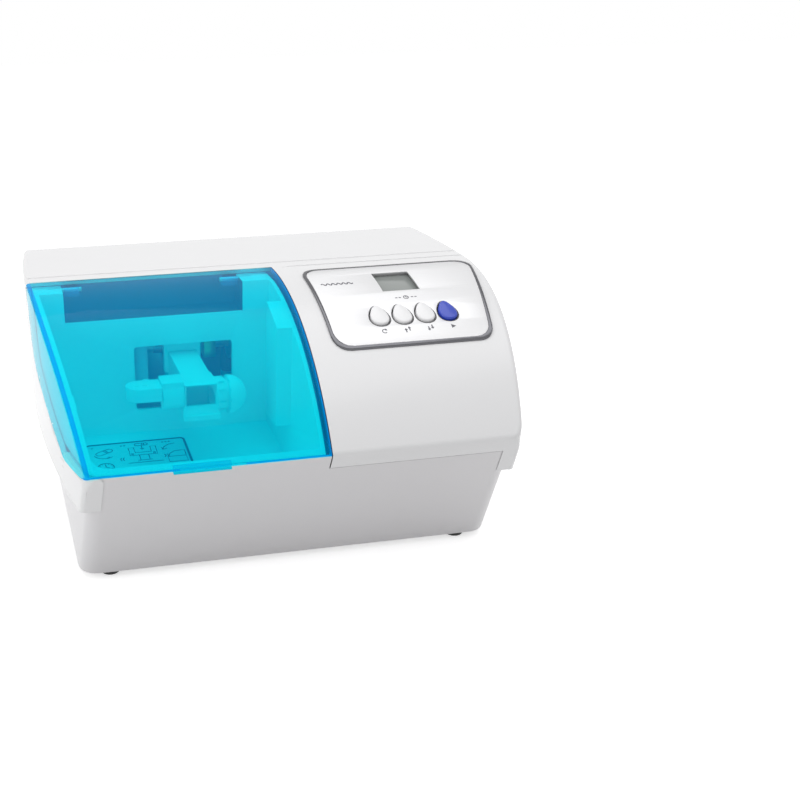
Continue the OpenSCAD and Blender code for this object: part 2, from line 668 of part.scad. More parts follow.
module cooling_fan() in_frame() color("ivory") on_shaft(shaft_x1 - 14) {
    tube(14, shaft_d, 12);
    for (i = [0:6]) rotate(i * 360 / 7) translate([5, 0, 6]) rotate([28, 0, 0]) translate([0, -0.7, -5])
        cube([19, 1.4, 10]);
}

// Crank sleeve: a ring that sits askew on the shaft and shakes the arm
sleeve_l = 16;
module crank_sleeve() in_frame() color("dimgray") translate([arm_x, bearing_y, bearing_z]) difference() {
    union() {
        rotate([0, 90, 0]) sphere(d = bearing_bore - 2 * bearing_play, $fn = 64);
        // Hubs that lean to the two sides, as the sleeve sits askew
        for (s = [-1, 1]) rotate([0, s * 90 + crank_tilt, 0]) translate([0, 0, 3])
            cylinder(d = shaft_d + 2.6, h = sleeve_l / 2);
    }
    translate([-30, 0, 0]) rotate([0, 90, 0]) cylinder(d = shaft_d, h = 60);
}
module balance_weight() in_frame() color("darkgoldenrod") on_shaft(arm_x + 17) difference() {
    cylinder(d = 26, h = 7);
    translate([0, 0, -1]) cylinder(d = shaft_d, h = 9);
    translate([5, -20, -1]) cube([20, 40, 9]);
}

// Arm: housing round the bearing, bar through the window, jaws at the front
arm_top_z = bearing_z + 9;
housing_l = 10;
block_w = 20.5;
module arm_housing() in_frame() color("white") difference() {
    union() {
        translate([arm_x - housing_l / 2, bearing_y, bearing_z]) rotate([0, 90, 0])
            cylinder(d = ring_d + 8, h = housing_l);
        translate([arm_x - housing_l / 2, block_y, bearing_z - 8])
            cube([housing_l, bearing_y - 10 - block_y, 16]);
        // Shouldered block just behind the window
        translate([arm_x - block_w / 2, block_y, arm_top_z]) cube([block_w, 5, 6]);
        for (s = [-1, 1]) translate([arm_x + s * (block_w - 2.6) / 2 - 1.3, block_y, bearing_z - 3])
            cube([2.6, 5, 14]);
        translate([arm_x - arm_w / 2, block_y + fit, bearing_z - 9]) cube([arm_w, 9, 17]);
        // Tail that runs in the guide bracket
        translate([arm_x - 3, bearing_y + 10, bearing_z - 4]) cube([6, 18, 8]);
    }
    translate([arm_x - 20, bearing_y, bearing_z]) rotate([0, 90, 0]) cylinder(d = ring_d, h = 40);
}
block_y = liner_back + 4;
ring_d = 18;
module arm_bearing() in_frame() color("goldenrod") on_shaft(arm_x - housing_l / 2) difference() {
    cylinder(d = ring_d, h = housing_l);
    translate([0, 0, housing_l / 2]) sphere(d = bearing_bore, $fn = 64);
    translate([0, 0, -1]) cylinder(d = bearing_bore - 1, h = housing_l + 2);
}

yoke_l = 18;
yoke_drop = 18.6;
yoke_z0 = arm_top_z - yoke_drop;
yoke_wall = 2.4;
capsule_d = 12.6;
capsule_y = -arm_front + capsule_d / 2 + 0.6;
capsule_z = yoke_z0 + yoke_wall + capsule_d / 2 + 0.6;
module arm_bar() in_frame() color("white") difference() {
    union() {
        // Flat-topped bar, deeper towards the bearing
        along_x(arm_x - arm_w / 2 + 0.8, arm_x + arm_w / 2 - 0.8) polygon([
            [block_y, arm_top_z], [block_y, bearing_z - 9], [-arm_front + yoke_l - 1, yoke_z0 + 5],
            [-arm_front + yoke_l - 1, arm_top_z]]);
        // Yoke
        translate([arm_x - arm_w / 2, -arm_front, yoke_z0]) cube([arm_w, yoke_l, yoke_drop]);
        // Lower lip that leads the capsule in
        along_x(arm_x - arm_w / 2 - 1, arm_x + arm_w / 2 + 1) polygon([
            [-arm_front + 1, yoke_z0], [-arm_front + 1, yoke_z0 + 6], [-arm_front - 2.4, yoke_z0 + 2.4],
            [-arm_front - 2.4, yoke_z0]]);
        // Rod that guides the sliding jaw
        translate([arm_x - arm_w / 2 - rod_l, rod_y, rod_z]) rotate([0, 90, 0])
            cylinder(d = rod_d, h = rod_l + 2);
    }
    // Room for the capsule: open at the front, with a round way out at each side
    translate([arm_x - arm_w / 2 + yoke_wall, -arm_front - 3, capsule_z - capsule_d / 2])
        cube([arm_w - 2 * yoke_wall, capsule_d + 3.6, capsule_d]);
    translate([arm_x - 20, capsule_y, capsule_z]) rotate([0, 90, 0]) cylinder(d = cup_bore, h = 40);
    translate([arm_x - arm_w / 2 - 1.4, -arm_front - 3, capsule_z - capsule_d / 2])
        cube([20, 3.2, capsule_d]);
}
cup_bore = 10;
rod_l = 16 + jaw_travel;
module fixed_jaw() in_frame() color("white") translate([arm_x + arm_w / 2, capsule_y + 1, capsule_z]) {
    difference() {
        union() {
            rotate([0, 90, 0]) cylinder(d = dome_d - 1, h = 4.4);
            translate([4.3, 0, 0]) rotate([0, 90, 0]) cylinder(d = dome_d - 5, h = 2.2);
            translate([6.4, 0, 0]) intersection() {
                sphere(d = dome_d, $fn = 64);
                translate([0, -20, -20]) cube(40);
            }
        }
        translate([-1, -1, 0]) rotate([0, 90, 0]) cylinder(d = cup_bore - 1, h = 4);
        for (a = [0:30:330]) rotate([a, 0, 0]) translate([1, -0.8, dome_d / 2 - 1.8]) cube([6, 1.6, 4]);
    }
}

// Sliding jaw: cup that presses the capsule, with the lever that draws it back along a rod
cup_l = 11;
cup_z = capsule_z + 3;
cup_x = arm_x - arm_w / 2 - fit;
rod_y = capsule_y + 5.2;
rod_z = cup_z + 4.6;
rod_d = 2.6;
module sliding_jaw() in_frame() color("white") difference() {
    union() {
        translate([cup_x, capsule_y, cup_z]) rotate([0, -90, 0]) cylinder(d = cup_d, h = cup_l);
        translate([cup_x - cup_l + 0.1, capsule_y, cup_z]) rotate([0, -90, 0]) cylinder(d = 7, h = 4);
        // Flat top with a step
        translate([cup_x - cup_l - 0.3, capsule_y - 5.6, cup_z + 4])
            cube([cup_l + 0.3, 12.6, cup_d / 2 - 3.6]);
    }
    translate([cup_x + 1, capsule_y, cup_z]) rotate([0, -90, 0]) cylinder(d = cup_d - 4, h = 7);
    translate([cup_x - 20, rod_y, rod_z]) rotate([0, 90, 0]) cylinder(d = rod_d + 0.1, h = 30);
}
lever_x = cup_x - cup_l - 0.3;
module jaw_lever() in_frame() color("white") difference() {
    translate([lever_x, capsule_y, cup_z - 3]) union() {
        translate([-11, 0, 0]) cylinder(d = 14, h = 9.6);
        translate([-11, -7, 0]) cube([10.8, 14, 9.6]);
        // Lug that holds the spring
        translate([-7, 0, 0.6]) cube([3, spring_y + 2.6 - capsule_y, 5]);
    }
    for (x = [-12.4, -8.2]) translate([lever_x + x - 1.2, capsule_y - 1.8, cup_z + 6]) cube([2.6, 1.2, 2]);
    translate([lever_x - 4, capsule_y, cup_z]) rotate([0, 90, 0]) cylinder(d = 7.1, h = 9);
    translate([cup_x - 40, rod_y, rod_z]) rotate([0, 90, 0]) cylinder(d = rod_d + 0.1, h = 40);
}
// Spring that draws the jaw towards the arm, drawn as a stack of rings
spring_y = -arm_front + yoke_l + 2.7;
spring_n = 7;
module jaw_spring() in_frame() color("silver") translate([lever_x - 4, spring_y, cup_z]) rotate([0, 90, 0])
    difference() {
    for (i = [0:spring_n - 1]) translate([0, 0, i * spring_l / spring_n])
        cylinder(d1 = 4.2, d2 = 4.8, h = spring_l / spring_n + (i < spring_n - 1 ? 0.05 : 0));
    translate([0, 0, -1]) cylinder(d = 3, h = spring_l + 2);
}
spring_l = arm_x - arm_w / 2 + 0.8 - lever_x + 4;

// Bracket that keeps the arm from turning with the shaft
module guide_bracket() in_frame() color("lightgray")
    translate([arm_x, bearing_y + 26, deck_z + plate_t]) difference() {
    union() {
        translate([-12, -2, 0]) cube([24, 14, 2]);
        translate([-12, -2, 0]) cube([24, 3, bearing_z - deck_z + 8]);
    }
    translate([-5, -9, bearing_z - deck_z - plate_t - 5.5]) cube([10, 20, 11]);
}

// Supply
module transformer() in_frame() color("sienna")
    translate([14 - plate_w / 2, plate_y1 - 25, deck_z + plate_t]) {
    translate([-13, -11, 0]) cube([26, 22, 28]);
    translate([-19, -8, 4]) cube([38, 16, 20]);
}
module power_board() in_frame() color("darkgreen") translate([board_x, board_y, foot_h + base_t + 5]) {
    cube([board_w, board_l, 1.6]);
    translate([6, 8, 1.6]) cube([12, 16, 11]);
    translate([28, 14, 1.6]) cylinder(d = 10, h = 16);
    translate([28, 34, 1.6]) cylinder(d = 10, h = 16);
    for (x = [5, board_w - 5], y = [5, board_l - 5]) translate([x, y, -5]) cylinder(d = 5, h = 5);
}
board_w = 44;
board_l = 70;
board_x = screw_x - post_d / 2 - 2.5 - board_w;
board_y = plate_y0 + 3 - board_l;

// Rear fittings
module fuse_holders() in_frame() color("black") for (x = fuse_xs) on_back(x, rear_z) difference() {
    union() {
        translate([0, 0, -26]) cylinder(d = fuse_body_d, h = 27);
        cylinder(d = fuse_cap_d, h = 1.6);
    }
    translate([0, 0, -20]) cylinder(d = fuse_stem_d + 0.1, h = 30);
}
fuse_stem_d = 7;
module fuse_cap(x) color("black") on_back(x, rear_z) {
    translate([0, 0, -17]) cylinder(d = fuse_stem_d, h = 20);
    difference() {
        translate([0, 0, 1.6 + fit]) cylinder(d1 = fuse_cap_d, d2 = fuse_cap_d - 2, h = 7);
        translate([-0.8, -9, 7.4]) cube([1.6, 18, 3]);
        for (i = [0:11]) rotate(i * 30) translate([fuse_cap_d / 2, 0, 3]) cylinder(d = 1.4, h = 9);
    }
}
module fuse_cap_left() in_frame() fuse_cap(fuse_xs[0]);
module fuse_cap_right() in_frame() fuse_cap(fuse_xs[1]);

module switch_housing() in_frame() color("black") on_back(switch_x, rear_z + 0.5) difference() {
    union() {
        linear_extrude(1.8) rounded(switch_w, switch_h, 1);
        translate([0, 0, -18]) linear_extrude(18) square([switch_w - 3, switch_h - 2], center = true);
        for (x = [-5, 5]) translate([x - 2.4, -0.4, -26]) cube([4.8, 0.8, 9]);
    }
    translate([0, 0, -9]) linear_extrude(20) square([switch_w - 6, switch_h - 4.4], center = true);
}
rocker_l = switch_w - 6 - 2 * fit;
module switch_rocker() in_frame() color("black") on_back(switch_x, rear_z + 0.5) intersection() {
    union() {
        // Two faces that meet in a shallow valley, one of them pressed in
        rotate([0, 2 * rocker_tilt, 0]) translate([-rocker_l, -rocker_h / 2, -3.4])
            cube([rocker_l, rocker_h, 6]);
        translate([0, -rocker_h / 2, -3.4]) cube([rocker_l, rocker_h, 6]);
    }
    translate([0, 9, 0]) rotate([90, 0, 0]) cylinder(r = rocker_l / 2, h = 18);
}
rocker_h = switch_h - 4.4 - 2 * fit;
rocker_tilt = 7;

module selector_body() in_frame() color("gainsboro") on_back(selector_x, rear_z + 0.5) difference() {
    union() {
        translate([-(selector_pitch + 8) / 2, -6, -tub_wall - 3.4]) cube([selector_pitch + 8, 12, 3]);
        translate([-9, -5, -tub_wall - 12]) cube([18, 10, 9]);
    }
    translate([-selector_slot_w / 2 - 1, -2.6, -tub_wall - 7]) cube([selector_slot_w + 2, 5.2, 12]);
    for (s = [-1, 1]) translate([s * selector_pitch / 2, 0, -20]) cylinder(d = 2.6, h = 30);
}
module selector_slider() in_frame() color("black") on_back(selector_x - selector_travel / 2, rear_z + 0.5) {
    translate([-(selector_slot_w - selector_travel - 0.8) / 2, -2.1, -tub_wall - 3.2])
        cube([selector_slot_w - selector_travel - 0.8, 4.2, tub_wall + 2]);
    translate([-1.5, -1.8, -2]) cube([3, 3.6, 2.6]);
}
module selector_screws() in_frame() color("silver") for (s = [-1, 1])
    on_back(selector_x + s * selector_pitch / 2, rear_z + 0.5) {
        translate([0, 0, -tub_wall - 6]) cylinder(d = 2.5, h = tub_wall + 7);
        difference() {
            translate([0, 0, 0.05]) cylinder(d1 = 5.2, d2 = 3.6, h = 1.6);
            for (a = [0, 90]) rotate(a) translate([-1.6, -0.35, 1]) cube([3.2, 0.7, 2]);
        }
    }
module strain_relief() in_frame() color("black") on_back(cord_x, rear_z + 1) difference() {
    union() {
        cylinder(d = relief_cap_d, h = 3);
        cylinder(d1 = relief_cap_d - 3, d2 = cord_d + 2, h = relief_l);
        translate([0, 0, -tub_wall - 4]) cylinder(d = relief_d, h = tub_wall + 5);
    }
    translate([0, 0, 2]) cylinder(d = cord_d, h = relief_l);
}

// Feet and screws
module at_feet() for (s = [-1, 1], y = foot_ys) translate([s * foot_x, y, 0]) children();
module rubber_feet() in_frame() color("black") at_feet() difference() {
    cylinder(d1 = foot_d - 1.4, d2 = foot_d, h = foot_h - 0.02);
    translate([0, 0, -0.5]) cylinder(d = 6, h = 1.6);
    cylinder(d = 3.2, h = 9);
}
module foot_screws() in_frame() color("silver") at_feet() {
    translate([0, 0, 0.1]) cylinder(d = 5.4, h = 0.98);
    translate([0, 0, 0.1]) cylinder(d = 3, h = foot_h + base_t + 2);
}
module housing_screws() in_frame() color("silver") for (p = screw_posts) translate([p[0], p[1], 36]) {
    cylinder(d = 5.8, h = 3.9);
    cylinder(d = 3, h = 27);
}

// Mains cord: a lead from the strain relief, a tied hank behind the machine, and a two-pin plug
lie_z = cord_d / 2 + 0.1;
hank_left = -20;
hank_run = 103;
hank_mid_y = back_y + 66;
hank_pitch = cord_d + 0.2;
hank_in = 3 * cord_d;
hank_out = hank_in + hank_pitch;
hank_half = hank_out + cord_d / 2 + 0.1;
plug_x = -88;
plug_y = hank_mid_y - 4;
plug_w = 35;
plug_t = 13.6;
plug_l = 24;
pin_l = 19;
function mix4(p, t) = pow(1 - t, 3) * p[0] + 3 * t * pow(1 - t, 2) * p[1] + 3 * t * t * (1 - t) * p[2]
    + t * t * t * p[3];
function bend(p, n) = [for (i = [1:n]) mix4(p, i / n)];
function relief_at(l) = [cord_x, lead_y + l * cos(back_tilt), lead_z - l * sin(back_tilt)];
lead_path = concat([relief_at(2), relief_at(relief_l)],
    bend([relief_at(relief_l), relief_at(relief_l + 26), [hank_left - 28, hank_mid_y - hank_out, lie_z],
          [hank_left, hank_mid_y - hank_out, lie_z]], 12));
tail_path = concat([[hank_left, hank_mid_y + hank_out, lie_z + hank_pitch]],
    bend([[hank_left, hank_mid_y + hank_out, lie_z + hank_pitch],
          [hank_left - 18, hank_mid_y + hank_out, lie_z + hank_pitch],
          [hank_left - 24, hank_mid_y + hank_out, lie_z],
          [hank_left - 40, hank_mid_y + hank_out, lie_z]], 6),
    bend([[hank_left - 40, hank_mid_y + hank_out, lie_z], [plug_x + 12.6, hank_mid_y + hank_out, lie_z],
          [plug_x, plug_y + 13, plug_t / 2], [plug_x, plug_y, plug_t / 2]], 9));
function unit(v) = v / norm(v);
function ring_at(p, i, r, n) =
    let (
        t = unit(p[min(i + 1, len(p) - 1)] - p[max(i - 1, 0)]),
        u = unit(cross(t, [0, 0, 1])),
        w = cross(u, t))
    [for (k = [0:n - 1]) p[i] + r * cos(360 * k / n) * u + r * sin(360 * k / n) * w];
module sweep(p, r, n) polyhedron(
    [for (i = [0:len(p) - 1]) each ring_at(p, i, r, n)],
    concat([[for (k = [0:n - 1]) k]],
           [for (i = [0:len(p) - 2], k = [0:n - 1])
               [i * n + k, (i + 1) * n + k, (i + 1) * n + (k + 1) % n, i * n + (k + 1) % n]],
           [[for (k = [n - 1:-1:0]) (len(p) - 1) * n + k]]));

module cord_run() in_frame() color("black") {
    sweep(lead_path, cord_d / 2, 14);
    sweep([for (i = [1:len(tail_path) - 1]) tail_path[i]], cord_d / 2, 14);
}
module cord_hank() in_frame() color("black") linear_extrude(lie_z + hank_pitch + cord_d / 2) difference() {
    union() {
        for (x = [hank_left, hank_left + hank_run]) translate([x, hank_mid_y]) circle(r = hank_half);
        translate([hank_left, hank_mid_y - hank_half]) square([hank_run, 2 * hank_half]);
    }
    // Waist where the tie draws the runs together
    for (s = [-1, 1]) translate([hank_left + hank_run / 2, hank_mid_y + s * (waist_r + waist_half)])
        circle(r = waist_r, $fn = 120);
}
waist_half = hank_pitch * 2 + 0.4;
waist_r = 54;
tie_t = 1;
module hank_tie() in_frame() color("black") difference() {
    translate([hank_left + hank_run / 2 - 2.5, hank_mid_y - waist_half - tie_t, 0])
        cube([5, 2 * (waist_half + tie_t), lie_z + hank_pitch + cord_d / 2 + tie_t]);
    translate([hank_left + hank_run / 2 - 4, hank_mid_y - waist_half, -1])
        cube([8, 2 * waist_half, lie_z + hank_pitch + cord_d / 2 + 1]);
}
module plug_body() in_frame() color("black")
    translate([plug_x, plug_y, plug_t / 2]) rotate([90, 0, 0]) difference() {
    union() {
        translate([0, 0, -0.5]) cylinder(d1 = cord_d + 2, d2 = plug_t - 2, h = 13);
        translate([0, 0, 12]) linear_extrude(plug_l) polygon([
            [-plug_w / 2, 0], [-plug_w / 2 + 5, -plug_t / 2], [plug_w / 2 - 5, -plug_t / 2],
            [plug_w / 2, 0], [plug_w / 2 - 5, plug_t / 2], [-plug_w / 2 + 5, plug_t / 2]]);
    }
    for (s = [-1, 1]) translate([s * 9.3, 0, 28]) cylinder(d = 4, h = 9);
    // Slanted shoulders behind the pins
    for (s = [-1, 1]) translate([s * plug_w / 2, 0, 12]) rotate([0, s * 32, 0]) translate([-6, -10, -20])
        cube([12, 20, 26]);
}
module plug_pins() in_frame() color("silver") translate([plug_x, plug_y, plug_t / 2]) rotate([90, 0, 0])
    for (s = [-1, 1]) translate([s * 9.3, 0, 28]) cylinder(d = 4, h = plug_l - 16 + pin_l);

upper_housing();
lower_tub();
base_plate();
chamber_liner();
lid();
hinge_pins();
lid_switch();
control_overlay();
overlay_border();
display_window();
display_module();
control_board();
key_recall();
key_up();
key_down();
key_start();
key_switches();
instruction_plate();
chassis_plate();
rubber_mounts();
motor_stator();
motor_end_bells();
motor_shaft();
motor_rotor();
cooling_fan();
crank_sleeve();
balance_weight();
arm_housing();
arm_bearing();
arm_bar();
fixed_jaw();
sliding_jaw();
jaw_lever();
jaw_spring();
guide_bracket();
transformer();
power_board();
fuse_holders();
fuse_cap_left();
fuse_cap_right();
switch_housing();
switch_rocker();
selector_body();
selector_slider();
selector_screws();
strain_relief();
rubber_feet();
foot_screws();
housing_screws();
cord_run();
cord_hank();
hank_tie();
plug_body();
plug_pins();
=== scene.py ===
import json
import math

import bmesh
import bpy
import numpy as np
from mathutils import Matrix, Vector
from mathutils.bvhtree import BVHTree
from mathutils.geometry import tessellate_polygon

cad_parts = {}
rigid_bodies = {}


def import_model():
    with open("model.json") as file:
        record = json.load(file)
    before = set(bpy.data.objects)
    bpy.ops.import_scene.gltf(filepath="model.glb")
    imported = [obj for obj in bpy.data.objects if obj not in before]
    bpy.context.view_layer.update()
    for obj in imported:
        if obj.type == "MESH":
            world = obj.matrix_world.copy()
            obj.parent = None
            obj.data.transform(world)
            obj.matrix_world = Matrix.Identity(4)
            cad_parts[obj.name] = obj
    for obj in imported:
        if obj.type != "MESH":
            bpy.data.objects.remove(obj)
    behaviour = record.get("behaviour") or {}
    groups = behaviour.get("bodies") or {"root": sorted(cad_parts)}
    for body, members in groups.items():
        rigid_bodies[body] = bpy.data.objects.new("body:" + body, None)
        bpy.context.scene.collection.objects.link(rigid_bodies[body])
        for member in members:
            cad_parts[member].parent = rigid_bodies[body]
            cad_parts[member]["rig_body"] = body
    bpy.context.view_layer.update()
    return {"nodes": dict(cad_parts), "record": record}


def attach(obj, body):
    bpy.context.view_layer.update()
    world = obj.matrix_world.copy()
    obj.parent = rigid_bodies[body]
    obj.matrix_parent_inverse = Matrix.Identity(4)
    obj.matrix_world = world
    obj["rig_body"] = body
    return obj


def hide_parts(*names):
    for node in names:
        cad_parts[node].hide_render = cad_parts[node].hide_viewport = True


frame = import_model()

# Sizes below are in millimetres, measured from the hood's datum as in the part's source.
MM = 0.001
FRAME_Y = 10.4358
NODES = frame["nodes"]
BODY_OF = {name: node["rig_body"] for name, node in NODES.items()}

HOOD_Y, TOP_Z, HOOD_R = 12.0, 135.0, 143.0
HOOD_CZ = TOP_Z - HOOD_R
HALF_W, SIDE_R, SIDE_Y = 125.0, 610.0, 35.0
SIDE_CX = HALF_W - SIDE_R
BACK_Y, BACK_R = 118.0, 30.0
RIM_Z = 73.5
RIM_Y = HOOD_Y - math.sqrt(HOOD_R**2 - (RIM_Z - HOOD_CZ) ** 2)
WALL = 3.0
SKIN = 0.14
FOOT_Z = 2.7
BASE_W, BASE_FRONT, BASE_BACK, BASE_R = 224.0, 70.5, 105.5, 10.0
FRONT_LEAN = (RIM_Y + BASE_FRONT) / (RIM_Z - FOOT_Z)
TUB_WALL, TUB_IN, FIT = 2.5, 3.3, 0.3
TUB_BACK = BACK_Y - TUB_IN
BACK_LEAN = (TUB_BACK - BASE_BACK) / (RIM_Z - FOOT_Z)
BACK_TILT = math.atan(BACK_LEAN)
CORNER_R = 9.0


def place(x, y, z):
    return Vector((x * MM, (y - FRAME_Y) * MM, z * MM))


def front_y(z):
    return RIM_Y + FRONT_LEAN * (z - RIM_Z)


def on_back(x, z):
    """Matrix of a spot on the tub's back wall, with z out of the wall, y up the wall."""
    y = BASE_BACK + BACK_LEAN * (z - FOOT_Z)
    turn = Matrix.Rotation(-math.pi / 2 - BACK_TILT, 4, "X")
    return Matrix.Translation(place(x, y, z)) @ turn @ Matrix.Scale(MM, 4)


def on_hood(x, angle, lift=0.0):
    """Matrix of a spot on the hood, with y up the slope and z out of it."""
    return (
        Matrix.Translation(place(x, HOOD_Y, HOOD_CZ))
        @ Matrix.Rotation(math.radians(angle), 4, "X")
        @ Matrix.Translation(Vector((0, 0, (HOOD_R + lift) * MM)))
        @ Matrix.Scale(MM, 4)
    )


# ---- camera


def make_camera():
    az, el, roll = math.radians(-10.78), math.radians(25.01), math.radians(-0.98)
    back = Vector((math.sin(az) * math.cos(el), -math.cos(az) * math.cos(el), math.sin(el)))
    right = Vector((math.cos(az), math.sin(az), 0))
    up = back.cross(right)
    right, up = (
        math.cos(roll) * right + math.sin(roll) * up,
        -math.sin(roll) * right + math.cos(roll) * up,
    )
    data = bpy.data.cameras.new("camera")
    data.lens = 49.22
    data.sensor_width = 36
    data.sensor_fit = "HORIZONTAL"
    data.shift_x = 0.2459
    data.shift_y = 0.0844
    data.clip_start = 0.02
    data.clip_end = 20
    cam = bpy.data.objects.new("camera", data)
    bpy.context.scene.collection.objects.link(cam)
    turn = Matrix((right, up, back)).transposed().to_4x4()
    cam.matrix_world = Matrix.Translation(Vector((-0.1399, -0.57214, 0.2911))) @ turn
    bpy.context.scene.camera = cam


make_camera()

# ---- mesh helpers

FLAT_ANGLE, BEVEL_ANGLE, SHARP_ANGLE = 0.6, 34, 32


def add_mesh(name, verts, faces):
    mesh = bpy.data.meshes.new(name)
    mesh.from_pydata([tuple(v) for v in verts], [], faces)
    mesh.update()
    obj = bpy.data.objects.new(name, mesh)
    bpy.context.scene.collection.objects.link(obj)
    return obj


def add_bmesh(name, bm):
    mesh = bpy.data.meshes.new(name)
    bm.to_mesh(mesh)
    bm.free()
    obj = bpy.data.objects.new(name, mesh)
    bpy.context.scene.collection.objects.link(obj)
    return obj


def merged_copy(node, name=None):
    """A copy of a CAD node's mesh with shared corners and whole flat faces."""
    bm = bmesh.new()
    bm.from_mesh(NODES[node].data)
    bmesh.ops.remove_doubles(bm, verts=bm.verts, dist=2e-6)
    bmesh.ops.dissolve_degenerate(bm, dist=1e-6, edges=bm.edges)
    bmesh.ops.dissolve_limit(
        bm, angle_limit=math.radians(FLAT_ANGLE), verts=bm.verts, edges=bm.edges, use_dissolve_boundaries=False
    )
    for face in bm.faces:
        face.material_index = 0
    return add_bmesh(name or node + "_shown", bm)


def apply_modifiers(obj):
    depsgraph = bpy.context.evaluated_depsgraph_get()
    mesh = bpy.data.meshes.new_from_object(obj.evaluated_get(depsgraph))
    obj.modifiers.clear()
    old = obj.data
    obj.data = mesh
    mesh.name = obj.name
    bpy.data.meshes.remove(old)
    return obj


def soften(obj, width):
    """Small rounded edges."""
    mod = obj.modifiers.new("edges", "BEVEL")
    mod.width = width * MM
    mod.segments = 2
    mod.limit_method = "ANGLE"
    mod.angle_limit = math.radians(BEVEL_ANGLE)
    mod.use_clamp_overlap = True
    mod.miter_outer = "MITER_ARC"
    return apply_modifiers(obj)


def combine(obj, other, operation):
    """Cuts or joins with another solid, which is used up."""
    mod = obj.modifiers.new("cut", "BOOLEAN")
    mod.operation = operation
    mod.solver = "MANIFOLD"
    mod.object = other
    apply_modifiers(obj)
    mesh = other.data
    bpy.data.objects.remove(other)
    bpy.data.meshes.remove(mesh)
    return obj


def finish_piece(obj, material, body=None, nodes=(), angle=SHARP_ANGLE):
    obj.data.materials.clear()
    obj.data.materials.append(material)
    obj.data.shade_smooth()
    obj.data.set_sharp_from_angle(angle=math.radians(angle))
    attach(obj, body or BODY_OF[nodes[0]])
    if nodes:
        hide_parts(*nodes)
    return obj


def dress(node, edge):
    """A CAD node shown as a smooth copy with softened edges."""
    obj = merged_copy(node)
    soften(obj, edge)
    return finish_piece(obj, finish_of(node), nodes=(node,))


def face_outwards(obj, merge=1e-7):
    bm = bmesh.new()
    bm.from_mesh(obj.data)
    bmesh.ops.remove_doubles(bm, verts=bm.verts, dist=merge)
    bmesh.ops.recalc_face_normals(bm, faces=bm.faces)
    bm.to_mesh(obj.data)
    bm.free()


def ring_faces(rows, count):
    """Four-sided faces between neighbouring closed rings of points."""
    return [(i * count + k, i * count + (k + 1) % count, (i + 1) * count + (k + 1) % count, (i + 1) * count + k)
            for i in range(rows - 1) for k in range(count)]


def solid_between(name, first, second):
    """A closed solid between two outlines that have the same number of corners."""
    n = len(first)
    obj = add_mesh(name, first + second, [tuple(range(n)), tuple(range(n, 2 * n))] + ring_faces(2, n))
    face_outwards(obj)
    return obj


def prism_x(name, outline, x0, x1):
    """A solid between two x places, from its outline in y and z."""
    return solid_between(name, *([place(x, y, z) for y, z in outline] for x in (x0, x1)))


def prism_z(name, outline, z0, z1):
    """A solid between two heights, from its outline seen from above."""
    return solid_between(name, *([place(x, y, z) for x, y in outline] for z in (z0, z1)))


# ---- rounded outer forms


def fillet(a, na, b, nb, r):
    """Rolling-ball rounding of two distances with their directions."""
    c = np.clip((na * nb).sum(-1), -0.9999, 0.9999)
    pa, pb = a + r, b + r
    alpha = (-pa + c * pb) / (1 - c * c)
    beta = (-pb + c * pa) / (1 - c * c)
    inside = (alpha < 0) & (beta < 0)
    to_centre = alpha[:, None] * na + beta[:, None] * nb
    reach = np.maximum(np.linalg.norm(to_centre, axis=1), 1e-9)
    plain_a = a >= b
    value = np.where(inside, reach - r, np.where(plain_a, a, b))
    direction = np.where(inside[:, None], -to_centre / reach[:, None], np.where(plain_a[:, None], na, nb))
    return value, direction


def vec(x, y, z):
    return np.stack(np.broadcast_arrays(x, y, z), -1).astype(float)


def side_distance(p, low_z):
    """Distance outside the hood, the top and the back, seen from the side."""
    y, z = p[:, 1], p[:, 2]
    hy, hz = y - HOOD_Y, z - HOOD_CZ
    hr = np.maximum(np.hypot(hy, hz), 1e-6)
    ahead = y < HOOD_Y
    a = np.where(ahead, hr - HOOD_R, z - TOP_Z)
    na = np.where(ahead[:, None], vec(0, hy / hr, hz / hr), vec(0, 0, 1))
    by, bz = y - (BACK_Y - BACK_R), z - (TOP_Z - BACK_R)
    br = np.maximum(np.hypot(by, bz), 1e-6)
    rounded = (by > 0) & (bz > 0)
    back = np.where(rounded, br - BACK_R, y - BACK_Y)
    nback = np.where(rounded[:, None], vec(0, by / br, bz / br), vec(0, 1, 0))
    top = (back > a) | rounded
    a = np.where(top, back, a)
    na = np.where(top[:, None], nback, na)
    lean = math.hypot(1, FRONT_LEAN)
    f = (RIM_Y + FRONT_LEAN * (z - RIM_Z) - y) / lean
    nf = vec(0, -1 / lean, FRONT_LEAN / lean) + 0 * p
    a, na = fillet(a, na, f, nf, 0.9)
    low = low_z - z
    under = low > a
    return np.where(under, low, a), np.where(under[:, None], vec(0, 0, -1) + 0 * p, na)


